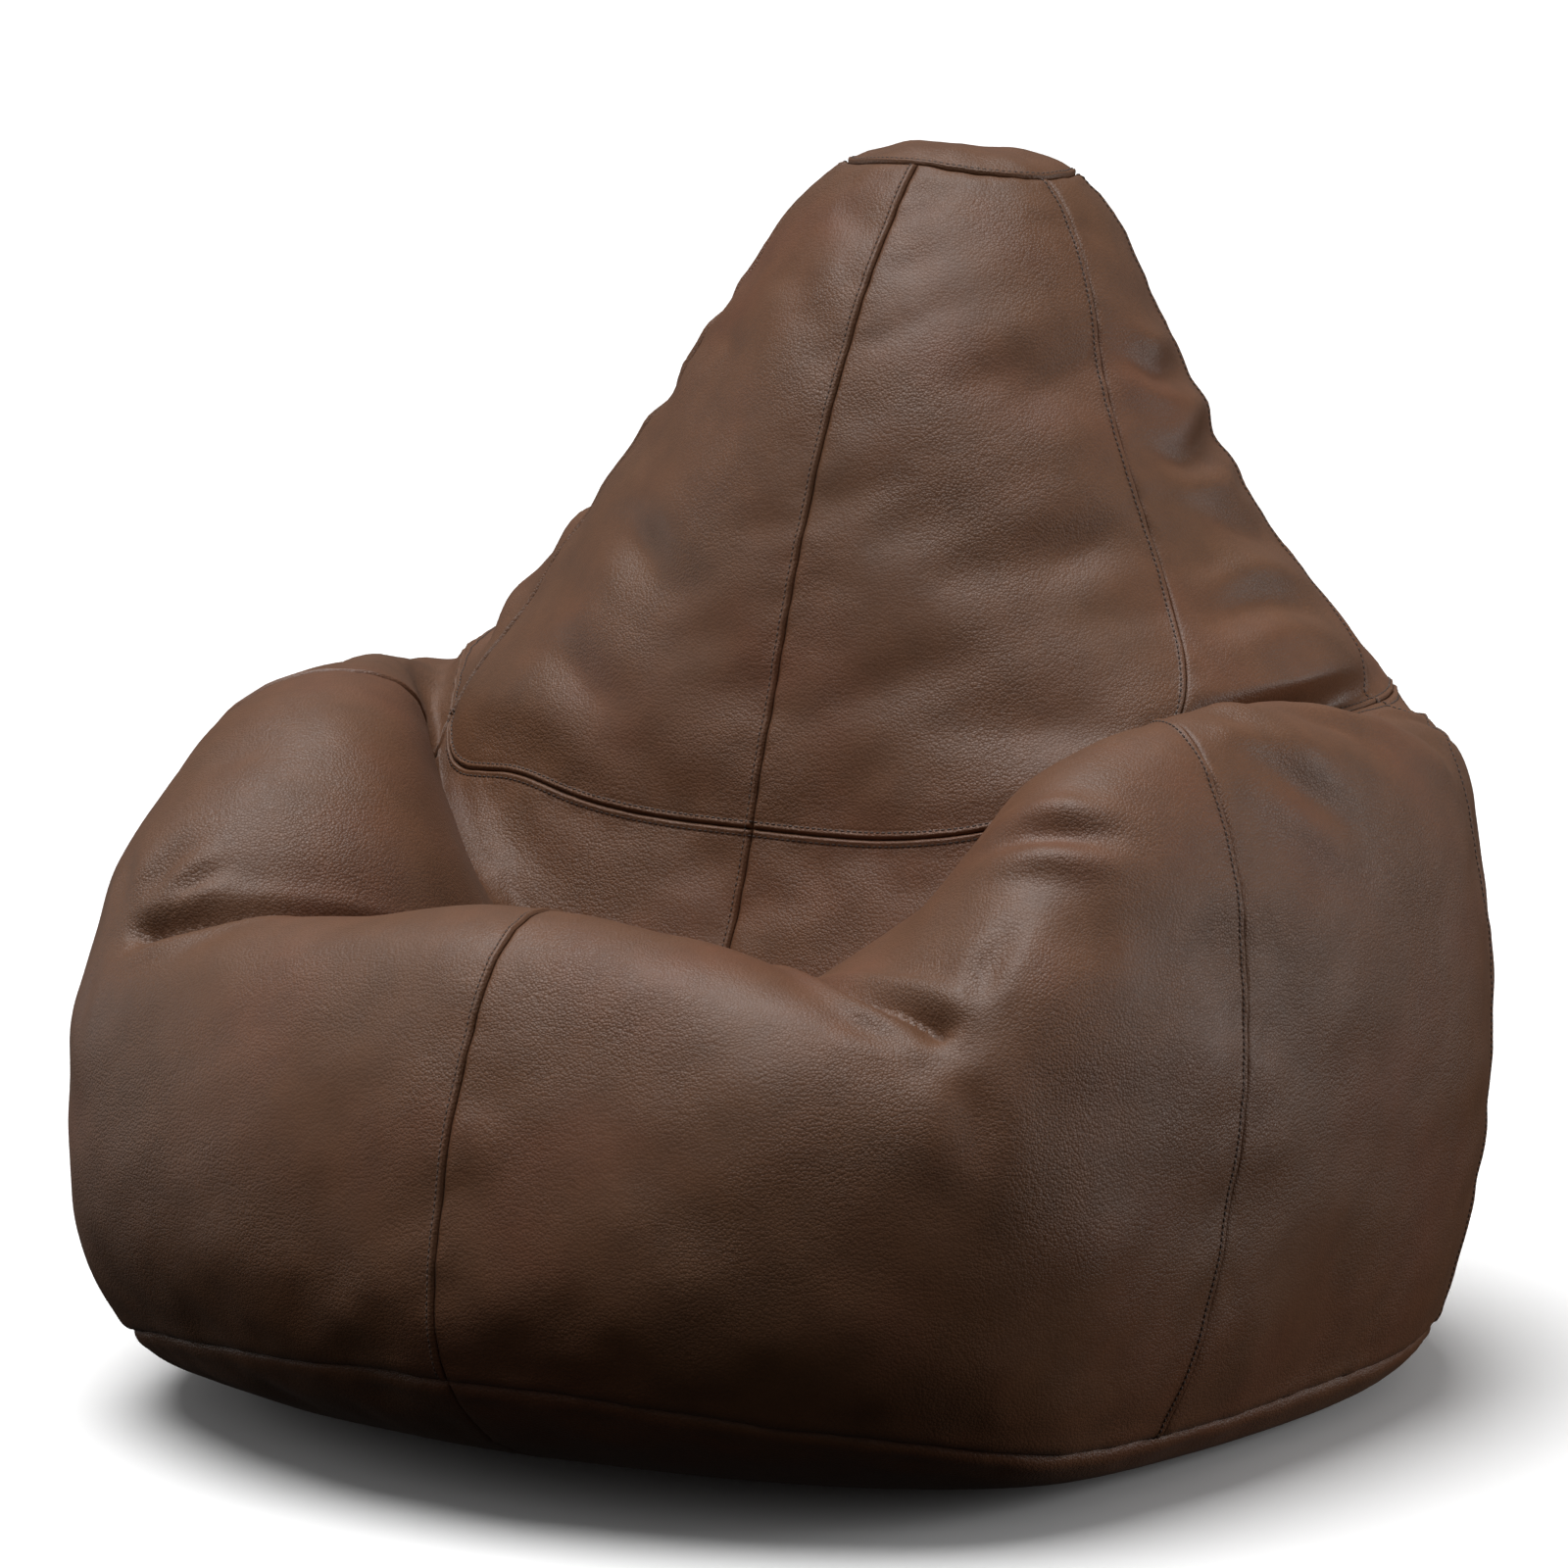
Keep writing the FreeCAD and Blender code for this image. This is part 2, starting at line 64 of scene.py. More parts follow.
DRAWN = {"width": 868.0, "depth": 867.8, "height": 765.4, "middle_y": -17.8}
ARM_DIFFERENCE = 24.0
CROWN_CENTRE = 247.0
RING_ANGLES = (0, 18, 34, 48, 62, 88, 113, 136, 158, 180)
UPPER_ANGLES = (0, 19, 36, 51, 65, 89, 113, 136, 158, 180)
CROWN_ANGLES = (0, 20, 39, 54, 68, 90, 113, 136, 158, 180)
LEAN_BY_RING = {9: 0.3, 10: 0.6, 11: 1.0, 12: 1.0, 13: 0.6, 14: 0.3}
LEAN_BY_COLUMN = {3: 0.3, 4: 0.8, 5: 1.0, 6: 0.8, 7: 0.4}
HALF = 9
COLUMNS = 2 * HALF
CAP_SEAM = 2.8
WAIST_SEAM = 8.5
BASE_SEAM = 16
FLOOR_RING = 19
GORES = {
    "front_right": (0, 4),
    "side_right": (4, 6),
    "rear_right": (6, 9),
    "rear_left": (9, 12),
    "side_left": (12, 14),
    "front_left": (14, 18),
}
LOWER_NAMES = {"front": "seat_front_panel", "side": "lower_side_panel", "rear": "lower_rear_panel"}


def oval_ring(centre_y, half_width, front, rear, heights, angles=RING_ANGLES):
    """Half of an egg-shaped outline whose height runs from heights[0] in front to heights[2]."""
    z_front, z_side, z_rear = heights
    points = []
    for angle in angles:
        across = math.sin(math.radians(angle))
        along = math.cos(math.radians(angle))
        reach, z_end = (front, z_front) if along > 0 else (rear, z_rear)
        z = z_side + (z_end - z_side) * along * along
        points.append((half_width * across, centre_y - reach * along, z))
    return points


def half_rings():
    """The rings of the right half, from the crown down, as drawn."""
    return [
        oval_ring(CROWN_CENTRE, 0, 0, 0, (764, 764, 764)),
        oval_ring(CROWN_CENTRE, 32, 26, 26, (766, 763, 758), CROWN_ANGLES),
        oval_ring(CROWN_CENTRE, 62, 48, 50, (765, 757, 745), CROWN_ANGLES),
        oval_ring(CROWN_CENTRE, 82, 66, 64, (757, 745, 730), CROWN_ANGLES),
        oval_ring(241, 115, 94, 88, (728, 716, 706), CROWN_ANGLES),
        oval_ring(226, 150, 130, 114, (672, 654, 646), UPPER_ANGLES),
        oval_ring(212, 188, 160, 156, (602, 587, 580)),
        oval_ring(206, 244, 190, 190, (524, 511, 505)),
        # just above and just below the waist seam
        [(0, -24, 424), (80, -26, 422), (150, -14, 420), (208, 12, 426), (258, 54, 436),
         (302, 150, 444), (316, 250, 436), (250, 345, 434), (135, 395, 430), (0, 408, 428)],
        [(0, -62, 298), (82, -64, 300), (155, -52, 314), (208, -32, 346), (255, 2, 385),
         (322, 122, 408), (342, 238, 400), (285, 338, 396), (150, 394, 392), (0, 410, 388)],
        # the bottom of the seat, and the crease where the arms meet the back
        [(0, -108, 212), (82, -106, 220), (155, -100, 262), (210, -80, 328), (262, -42, 396),
         (334, 88, 420), (368, 222, 396), (300, 332, 368), (157, 398, 358), (0, 414, 352)],
        # the inside of the front roll and of the arms
        [(0, -200, 238), (92, -198, 245), (182, -212, 296), (240, -182, 420), (300, -66, 462),
         (348, 50, 446), (386, 205, 400), (315, 333, 342), (164, 402, 326), (0, 418, 316)],
        # the top of the front roll and of the arms, pinched together at the third point
        [(0, -262, 372), (128, -262, 350), (248, -276, 320), (300, -238, 428), (350, -100, 456),
         (384, 36, 438), (412, 185, 376), (326, 330, 308), (168, 402, 286), (0, 422, 276)],
        [(0, -375, 378), (165, -362, 352), (296, -334, 318), (350, -268, 352), (390, -135, 370),
         (422, 34, 360), (430, 172, 314), (333, 325, 260), (172, 402, 238), (0, 424, 228)],
        [(0, -438, 245), (180, -422, 240), (308, -364, 232), (368, -290, 240), (406, -168, 252),
         (440, 32, 252), (441, 165, 232), (336, 320, 203), (172, 400, 184), (0, 422, 174)],
        [(0, -470, 150), (178, -440, 140), (302, -366, 122), (356, -298, 112), (388, -198, 110),
         (430, 22, 118), (431, 162, 120), (328, 312, 116), (168, 388, 106), (0, 414, 102)],
        # the base seam, with the nose of the base lifted off the floor
        [(0, -450, 97), (165, -412, 80), (282, -342, 58), (326, -282, 40), (350, -208, 28),
         (398, 18, 24), (403, 160, 24), (305, 304, 34), (158, 370, 38), (0, 396, 38)],
        [(0, -405, 46), (148, -368, 38), (254, -300, 24), (296, -244, 14), (318, -182, 6),
         (368, 14, 3), (371, 154, 3), (284, 290, 6), (148, 350, 8), (0, 376, 8)],
        # the last two rings lie on the floor
        [(0, -310, 10), (115, -288, 6), (208, -240, 0), (250, -190, 0), (274, -132, 0),
         (316, 14, 0), (316, 140, 0), (246, 260, 0), (130, 316, 0), (0, 340, 0)],
        [(0, -235, 0), (94, -222, 0), (170, -188, 0), (208, -148, 0), (230, -98, 0),
         (266, 12, 0), (266, 125, 0), (212, 228, 0), (112, 280, 0), (0, 300, 0)],
    ]


def drawn_net():
    """Control net [column, ring, xyz] in metres, stretched to the CAD box."""
    box = cad_high - cad_low
    rings = half_rings()
    net = np.zeros((COLUMNS, len(rings), 3))
    for column in range(COLUMNS):
        side = 1 if column <= HALF else -1
        place = column if column <= HALF else COLUMNS - column
        for ring, outline in enumerate(rings):
            x, y, z = outline[place]
            lean = LEAN_BY_RING.get(ring, 0) * LEAN_BY_COLUMN.get(place, 0)
            net[column, ring] = (
                side * x * box.x / DRAWN["width"],
                (y - DRAWN["middle_y"]) * box.y / DRAWN["depth"],
                z * box.z / DRAWN["height"] + side * lean * ARM_DIFFERENCE * MM)
    return net


def extended(grid):
    """A net with one reflected row added at each end, for spline()."""
    above = 2 * grid[:, :1] - grid[:, 1:2]
    below = 2 * grid[:, -1:] - grid[:, -2:-1]
    return np.concatenate([above, grid, below], axis=1)


def basis(t):
    return ((1 - t) ** 3 / 6, (3 * t ** 3 - 6 * t ** 2 + 4) / 6,
            (-3 * t ** 3 + 3 * t ** 2 + 3 * t + 1) / 6, t ** 3 / 6)


def spline(net, u, v):
    """Uniform cubic surface over an extended net, closed in u, at arrays of (column, row)."""
    columns, rows = net.shape[0], net.shape[1] - 2
    across = np.floor(u).astype(int)
    down = np.clip(np.floor(v).astype(int), 0, rows - 2)
    weights_u = basis(u - across)
    weights_v = basis(v - down)
    result = 0.0
    for i in range(4):
        for j in range(4):
            weight = (weights_u[i] * weights_v[j])[..., None]
            result = result + weight * net[(across - 1 + i) % columns, down + j]
    return result


NET = extended(drawn_net())


def surface(u, v):
    return spline(NET, u, v)


def unit(vectors):
    return vectors / np.maximum(np.linalg.norm(vectors, axis=-1, keepdims=True), 1e-12)


def outward(u, v, step=0.02):
    """Outward normals of the drawn surface."""
    low = np.maximum(v - step, 0.03)
    high = np.minimum(v + step, FLOOR_RING)
    around = surface(u + step, v) - surface(u - step, v)
    down = surface(u, high) - surface(u, low)
    return unit(np.cross(down, around))


def rise(values, low, high):
    """0 below low, 1 above high, and smooth between them."""
    share = np.clip((values - low) / (high - low), 0, 1)
    return share * share * (3 - 2 * share)


# ------------------------------------------------------------------ folds and slack in the leather

# How the stuffing pushes parts of the cover: centre and reach in (column, ring), and the move in mm.
BULGES = [
    # the left arm hangs over the crease beside the seat and the back
    {"at": (14.6, 10.9), "reach": (0.9, 1.15), "move": (36, 2, 14)},
    {"at": (15.7, 11.2), "reach": (0.8, 1.3), "move": (46, -10, 4)},
    {"at": (13.7, 10.4), "reach": (0.7, 0.8), "move": (18, -4, 16)},
    {"at": (14.5, 8.5), "reach": (0.7, 0.8), "move": (-14, -8, -24)},
    # the right arm hangs over the seat
    {"at": (1.9, 11.3), "reach": (0.7, 1.1), "move": (-34, -10, 6)},
    {"at": (3.2, 10.9), "reach": (0.8, 1.0), "move": (-14, -6, 10)},
    # the sides swell up over the waist seam
    {"at": (5.2, 9.5), "reach": (1.0, 0.6), "move": (6, 4, 15)},
    {"at": (5.1, 7.6), "reach": (1.0, 0.4), "move": (14, -6, -6)},
    {"at": (5.1, 8.35), "reach": (1.0, 0.35), "move": (-22, -6, -4)},
    {"at": (12.8, 9.8), "reach": (0.9, 0.6), "move": (-6, 6, 8)},
]

# Each fold: (column, ring) points along it, width and depth in mm, how high the leather swells
# beside it, and how much of its length each end takes to fade out (half, unless it says).
FOLDS = [
    # the pinches where the arms meet the front roll
    {"path": [(15.66, 13.1), (15.9, 12.8), (16.15, 12.3), (16.25, 11.5), (16.15, 10.7), (16.1, 10.0)],
     "width": 9, "depth": 20, "swell": 3, "sharp": True, "ends": (0.1, 0.3)},
    {"path": [(2.1, 13.05), (1.9, 12.7), (1.6, 12.3), (1.3, 11.6), (1.2, 10.8), (1.1, 10.0)],
     "width": 9, "depth": 18, "swell": 4, "sharp": True, "ends": (0.08, 0.3)},
    # the creases between the arms and the back
    {"path": [(5.0, 9.2), (4.3, 9.4), (3.5, 9.6), (2.7, 9.7), (2.0, 9.9)],
     "width": 11, "depth": 14, "swell": 2, "sharp": True, "ends": (0.4, 0.3)},
    {"path": [(13.2, 9.3), (13.9, 9.5), (14.5, 9.6), (15.1, 9.7), (15.8, 9.9)],
     "width": 11, "depth": 14, "swell": 2, "sharp": True, "ends": (0.4, 0.3)},
    # small wrinkles that radiate from the pinches
    {"path": [(15.6, 12.95), (15.45, 12.6), (15.25, 12.3)], "width": 6, "depth": 4, "swell": 2},
    {"path": [(15.66, 12.8), (15.66, 12.5), (15.6, 12.15)], "width": 5, "depth": 3.5, "swell": 2},
    {"path": [(15.5, 13.1), (15.2, 12.9), (14.9, 12.8)], "width": 6, "depth": 3, "swell": 2},
    {"path": [(15.62, 13.2), (15.55, 13.6), (15.5, 14.0)], "width": 10, "depth": 3, "swell": 1},
    {"path": [(2.2, 12.95), (2.45, 12.55), (2.8, 12.3)], "width": 6, "depth": 4, "swell": 2},
    {"path": [(2.15, 13.15), (2.2, 13.6), (2.25, 14.1)], "width": 12, "depth": 4, "swell": 2},
    {"path": [(2.0, 13.1), (1.7, 12.95), (1.4, 12.9)], "width": 8, "depth": 3, "swell": 2},
    # the right arm
    {"path": [(2.7, 11.3), (3.0, 11.8), (3.25, 12.2), (3.55, 12.4)], "width": 9, "depth": 8, "swell": 5},
    {"path": [(4.15, 11.9), (4.5, 12.4), (4.9, 12.85)], "width": 12, "depth": 5, "swell": 3},
    {"path": [(4.35, 11.4), (4.9, 11.7), (5.4, 12.0)], "width": 13, "depth": 5, "swell": 3},
    {"path": [(4.1, 11.3), (4.3, 11.6), (4.5, 11.9)], "width": 10, "depth": 5, "swell": 3},
    {"path": [(5.2, 10.8), (5.7, 11.3), (6.0, 12.0)], "width": 16, "depth": 5, "swell": 3},
    # the left arm
    {"path": [(14.9, 11.6), (14.8, 12.0), (14.9, 12.4)], "width": 16, "depth": 3, "swell": 2},
    {"path": [(13.7, 11.2), (13.2, 11.6), (12.7, 12.1)], "width": 18, "depth": 5, "swell": 3},
    # the back, right of the middle
    {"path": [(4.3, 5.0), (3.4, 5.3), (2.7, 5.5), (1.8, 5.9)], "width": 18, "depth": 4.5, "swell": 2},
    {"path": [(3.95, 6.5), (2.95, 6.75), (2.1, 7.0)], "width": 16, "depth": 3.5, "swell": 2},
    {"path": [(3.7, 7.6), (2.6, 7.9), (1.7, 8.0)], "width": 18, "depth": 2, "swell": 1},
    {"path": [(4.1, 5.1), (4.9, 5.4), (6.0, 5.4)], "width": 10, "depth": 6, "swell": 4},
    {"path": [(4.1, 5.9), (4.8, 6.15), (5.6, 6.0), (6.6, 6.1)], "width": 10, "depth": 7, "swell": 5},
    {"path": [(4.5, 6.5), (5.2, 6.75), (6.2, 7.0)], "width": 13, "depth": 5, "swell": 3},
    {"path": [(4.1, 7.35), (4.9, 7.2), (5.9, 7.45)], "width": 9, "depth": 6, "swell": 4},
    {"path": [(4.0, 8.2), (5.0, 8.35), (6.2, 8.3)], "width": 10, "depth": 20, "swell": 5, "sharp": True},
    # the back, left of the middle
    {"path": [(15.3, 6.7), (16.1, 7.0), (17.0, 7.4)], "width": 14, "depth": 5, "swell": 3},
    {"path": [(14.9, 7.6), (15.8, 7.8), (16.7, 8.05)], "width": 14, "depth": 5, "swell": 3},
    {"path": [(15.0, 5.0), (15.6, 5.3), (16.4, 5.7)], "width": 18, "depth": 3, "swell": 2},
    {"path": [(14.3, 4.9), (13.4, 5.1), (12.2, 5.0)], "width": 10, "depth": 6, "swell": 4},
    {"path": [(14.4, 5.7), (13.4, 6.0), (12.0, 5.9)], "width": 11, "depth": 7, "swell": 4},
    {"path": [(14.2, 7.0), (13.2, 6.8), (12.3, 7.1)], "width": 13, "depth": 6, "swell": 4},
    {"path": [(13.9, 8.1), (13.0, 8.2), (12.2, 8.1)], "width": 11, "depth": 9, "swell": 4},
    # the rear, where the bag slumps on its waist
    {"path": [(6.3, 6.4), (7.2, 6.6), (8.3, 6.5)], "width": 16, "depth": 6, "swell": 4},
    {"path": [(11.7, 6.4), (10.8, 6.6), (9.7, 6.5)], "width": 16, "depth": 6, "swell": 4},
    {"path": [(6.2, 7.7), (7.5, 7.95), (8.6, 7.8)], "width": 14, "depth": 7, "swell": 4},
    {"path": [(11.8, 7.9), (10.5, 8.0), (9.5, 7.9)], "width": 14, "depth": 6, "swell": 4},
    {"path": [(6.2, 9.3), (7.2, 9.6), (8.2, 9.5)], "width": 18, "depth": 6, "swell": 3},
    {"path": [(11.8, 9.4), (10.9, 9.8), (10.0, 9.7)], "width": 18, "depth": 6, "swell": 3},
]


def bulge_moves(u, v):
    """How the stuffing pushes each point, in metres."""
    total = np.zeros(u.shape + (3,))
    for bulge in BULGES:
        apart = (u - bulge["at"][0] + HALF) % COLUMNS - HALF
        down = v - bulge["at"][1]
        share = np.exp(-(apart / bulge["reach"][0]) ** 2 - (down / bulge["reach"][1]) ** 2)
        total += share[..., None] * np.array(bulge["move"]) * MM
    return total


# The swelling beside a fold: how far out it lies and how wide it is, both in fold widths.
SWELL_PLACE = 2.1
SWELL_WIDTH = 1.1
FOLD_REACH = 5
FOLD_SMOOTHING = 6

# Undulation of the whole cover: random seed, wavelength and height.
COVER_WAVES = ((5, 150 * MM, 1.6 * MM), (8, 55 * MM, 0.5 * MM))

# Between these two heights above the floor, folds, slack and seam profiles fade in.
FOLD_HEIGHTS = (2 * MM, 60 * MM)
SLACK_HEIGHTS = (2 * MM, 40 * MM)
SEAM_HEIGHTS = (1 * MM, 12 * MM)


def fold_line(path, count=28):
    """Points of the drawn surface along a smooth curve through a fold's (column, ring) points."""
    points = np.array(path, dtype=float)
    spots = np.linspace(0, len(points) - 1, count)
    whole = np.arange(len(points))
    u = np.interp(spots, whole, points[:, 0])
    v = np.interp(spots, whole, points[:, 1])
    for _ in range(FOLD_SMOOTHING):
        u[1:-1] = (u[:-2] + 2 * u[1:-1] + u[2:]) / 4
        v[1:-1] = (v[:-2] + 2 * v[1:-1] + v[2:]) / 4
    return surface(u, v)


def fold_depths(points):
    """How far the folds move each point of the drawn surface along its normal, in metres."""
    flat = points.reshape(-1, 3)
    total = np.zeros(len(flat))
    for fold in FOLDS:
        line = fold_line(fold["path"])
        width, depth, swell = (fold[name] * MM for name in ("width", "depth", "swell"))
        reach = FOLD_REACH * width
        near = np.all((flat > line.min(0) - reach) & (flat < line.max(0) + reach), axis=1)
        chosen = flat[near]
        gaps = np.linalg.norm(chosen[:, None, :] - line[None, :, :], axis=2)
        nearest = gaps.argmin(axis=1)
        ratio = gaps[np.arange(len(chosen)), nearest] / width
        place = nearest / (len(line) - 1)
        fade_in, fade_out = fold.get("ends", (0.5, 0.5))
        fade = rise(place, -0.02, fade_in) * rise(1 - place, -0.02, fade_out)
        power = 1.0 if fold.get("sharp") else 1.6
        valley = -depth * np.exp(-ratio ** power)
        hill = swell * np.exp(-((ratio - SWELL_PLACE) / SWELL_WIDTH) ** 2)
        total[near] += fade * (valley + hill)
    return total.reshape(points.shape[:-1])


def soft_waves(points, seed, wavelength, height, count=9):
    """Slow, irregular undulation of a stuffed surface."""
    random = np.random.default_rng(seed)
    total = np.zeros(points.shape[:-1])
    for _ in range(count):
        direction = unit(random.normal(size=3))
        pitch = wavelength * random.uniform(0.7, 1.5)
        total += np.sin(points @ direction * (2 * math.pi / pitch) + random.uniform(0, 6.28))
    return height * total / math.sqrt(count)


def pushed_cover(u, v):
    """Points and outward normals of the cover as the stuffing pushes and folds it."""
    points = surface(u, v)
    normals = outward(u, v)
    off_floor = rise(points[..., 2], *FOLD_HEIGHTS)
    moved = fold_depths(points)
    for seed, wavelength, height in COVER_WAVES:
        moved = moved + soft_waves(points, seed, wavelength, height)
    pushed = (bulge_moves(u, v) + normals * moved[..., None]) * off_floor[..., None]
    return points + pushed, normals


# ------------------------------------------------------------------ cloth simulation

SIM_COLUMNS = 252
SIM_ROWS = 190
SIM_FRAMES = 20
SIM_CAP = 9 * MM
SIM_SHARE = 0.7
CROWN_ROW = 0.1
# The cloth is held up to the first distance from a seam and free past the second, in rows or columns.
HELD_ROWS = (0.06, 0.2)
HELD_COLUMNS = (0.03, 0.1)
HELD_BASE = (BASE_SEAM + 0.5, BASE_SEAM + 1.5)
CLOTH = {
    "quality": 5,
    "mass": 0.3,
    "tension_stiffness": 25,
    "compression_stiffness": 25,
    "shear_stiffness": 8,
    "bending_stiffness": 1.5,
    "shrink_min": -0.006,
    "use_pressure": True,
    "uniform_pressure_force": 2.5,
    "vertex_group_mass": "hold",
}


def seam_hold(u, v):
    """1 on the seams and on the floor, where the simulated leather is held, falling to 0 off them."""
    held = np.zeros(u.shape)
    for seam in (CAP_SEAM, WAIST_SEAM, BASE_SEAM):
        held = np.maximum(held, 1 - rise(np.abs(v - seam), *HELD_ROWS))
    for seam, _ in GORES.values():
        apart = np.abs((u - seam + HALF) % COLUMNS - HALF)
        held = np.maximum(held, 1 - rise(apart, *HELD_COLUMNS))
    return np.maximum(held, rise(v, *HELD_BASE))


def simulated_slack():
    """How loose leather settles between its seams: moves on a grid, as an extended net."""
    u, v = np.meshgrid(np.arange(SIM_COLUMNS) * COLUMNS / SIM_COLUMNS,
                       np.linspace(CROWN_ROW, FLOOR_RING, SIM_ROWS))
    start, _ = pushed_cover(u, v)
    faces = grid_faces(SIM_ROWS, SIM_COLUMNS, closed=True)
    piece = mesh_object("loose_cover", start.reshape(-1, 3), faces, leather)
    hold = piece.vertex_groups.new(name=CLOTH["vertex_group_mass"])
    for index, weight in enumerate(seam_hold(u, v).ravel()):
        if weight > 0:
            hold.add([index], float(weight), "REPLACE")
    cloth = piece.modifiers.new("cloth", "CLOTH").settings
    for setting, value in CLOTH.items():
        setattr(cloth, setting, value)
    cloth.effector_weights.gravity = 0
    for step in range(1, SIM_FRAMES + 1):
        bpy.context.scene.frame_set(step)
    settled = piece.evaluated_get(bpy.context.evaluated_depsgraph_get()).to_mesh()
    ends = np.zeros(start.size)
    settled.vertices.foreach_get("co", ends)
    moves = ends.reshape(start.shape) - start
    bpy.data.objects.remove(piece)
    bpy.context.scene.frame_set(1)
    length = np.linalg.norm(moves, axis=-1, keepdims=True)
    moves *= SIM_SHARE * SIM_CAP * np.tanh(length / SIM_CAP) / np.maximum(length, 1e-9)
    return extended(moves.transpose(1, 0, 2))


def cover(u, v):
    """Points and outward normals of the finished cover, before its seams are drawn in."""
    points, normals = pushed_cover(u, v)
    if slack is not None:
        row = (v - CROWN_ROW) / (FLOOR_RING - CROWN_ROW) * (SIM_ROWS - 1)
        moves = spline(slack, u * SIM_COLUMNS / COLUMNS, np.maximum(row, 0))
        points = points + moves * rise(points[..., 2], *SLACK_HEIGHTS)[..., None]
    return points, normals


# ------------------------------------------------------------------ leather panels

# Distances in mm from a seam to the mesh lines beside it. Stitches follow one of them.
EDGE_STEPS = (0, 0.7, 1.6, 2.8, 4.5, 6.2, 8.5, 11.5, 15.5, 20)
STITCH_LINE = 4
SPACING = 5 * MM
LEATHER_THICKNESS = 1.4 * MM

# How an edge looks at its seam, in mm: how deep and wide the crease is, and the swelling beside it.
TURNED = {"depth": 1.5, "reach": 0.8, "swell": 1.6, "middle": 2.6, "width": 2.2, "stitched": True}
PLAIN = {"depth": 1.5, "reach": 1.1, "swell": 0.2, "middle": 8.0, "width": 4.0}
OPENED = {"depth": 1.5, "reach": 0.7, "swell": 1.3, "middle": 2.3, "width": 1.7, "stitched": True}
GATHERED = {"depth": 2.6, "reach": 2.2, "swell": 1.0, "middle": 9.0, "width": 6.0}
FLAT = {"depth": 0.0, "reach": 1.0, "swell": 0.0, "middle": 1.0, "width": 1.0}

CREASE_POWER = 1.4
SEAM_CLEARANCE = 1.2            # how near the seam the swelling fades out, in mm
THREAD_GROOVE = (0.6, 0.9)      # depth and width of the groove that the stitches pull in, in mm
PUCKER_SEED = 3
PUCKER_WAVE = (17 * MM, 0.5 * MM)
PUCKER_REACH = 11 * MM
GUIDE_COLUMNS = 60
GUIDE_ROWS = 220


def seam_moves(points, distances, looks):
    """How far the seams move a panel's points along their normals, in metres.

    On the seam itself this depends only on the seam, so that the panels on its two sides meet.
    """
    crease = np.zeros(points.shape[:-1])
    swelling = np.zeros(points.shape[:-1])
    inside = np.ones(points.shape[:-1])
    for distance, look in zip(distances, looks):
        mm = distance / MM
        crease = np.minimum(crease, -look["depth"] * np.exp(-(mm / look["reach"]) ** CREASE_POWER))
        swelling += look["swell"] * np.exp(-((mm - look["middle"]) / look["width"]) ** 2)
        inside *= 1 - np.exp(-(mm / SEAM_CLEARANCE) ** 2)
        if look.get("stitched"):
            depth, width = THREAD_GROOVE
            swelling -= depth * np.exp(-((mm - EDGE_STEPS[STITCH_LINE]) / width) ** 2)
    nearest = np.minimum.reduce(distances)
    puckers = soft_waves(points, PUCKER_SEED, *PUCKER_WAVE) * np.exp(-nearest / PUCKER_REACH)
    off_floor = rise(points[..., 2], *SEAM_HEIGHTS)
    return ((crease + swelling * inside) * MM + puckers) * off_floor


def graded(lengths, middle):
    """Distances along lines of these lengths: fine at both ends, with even steps between them."""
    steps = np.array(EDGE_STEPS) / EDGE_STEPS[-1]
    reach = np.minimum(EDGE_STEPS[-1] * MM, lengths / 3)
    start = steps[:, None] * reach
    end = lengths - start[::-1]
    share = np.linspace(0, 1, middle + 1)[1:-1, None]
    return np.concatenate([start, start[-1] + share * (end[0] - start[-1]), end])


def run_lengths(points):
    """Length from the first point along the last-but-one axis."""
    steps = np.linalg.norm(np.diff(points, axis=-2), axis=-1)
    start = np.zeros(steps.shape[:-1] + (1,))
    return np.concatenate([start, np.cumsum(steps, axis=-1)], axis=-1)


def even_steps(lengths):
    """Number of even steps for the middle of lines of these lengths."""
    return max(3, round((float(lengths.mean()) - 2 * EDGE_STEPS[-1] * MM) / SPACING))


def panel_grid(u_range, v_range):
    """Where a panel's mesh points lie, as (u, v), and their distances down and across, in metres."""
    guide_u = np.linspace(*u_range, GUIDE_COLUMNS)
    guide_v = np.linspace(*v_range, GUIDE_ROWS)
    down = run_lengths(surface(*np.meshgrid(guide_u, guide_v, indexing="ij")))
    down_steps = graded(down[:, -1], even_steps(down[:, -1]))
    rows_v = np.stack([np.interp(down_steps[:, i], down[i], guide_v) for i in range(len(guide_u))], axis=1)
    across = run_lengths(surface(np.broadcast_to(guide_u, rows_v.shape), rows_v))
    across_steps = graded(across[:, -1], even_steps(across[:, -1])).T
    u = np.stack([np.interp(across_steps[i], across[i], guide_u) for i in range(len(rows_v))])
    v = np.stack([np.interp(u[i], guide_u, rows_v[i]) for i in range(len(rows_v))])
    down_here = np.stack([np.interp(u[i], guide_u, down_steps[i]) for i in range(len(rows_v))])
    down_all = np.stack([np.interp(u[i], guide_u, down[:, -1]) for i in range(len(rows_v))])
    return u, v, (down_here, down_all - down_here, across_steps, across[:, -1:] - across_steps)


def panel_points(u_range, v_range, looks):
    """Points of one leather panel. looks are those of its top, bottom, low-u and high-u edges."""
    u, v, distances = panel_grid(u_range, v_range)
    points, normals = cover(u, v)
    moved = seam_moves(points, distances, looks)
    return points + normals * moved[..., None], normals


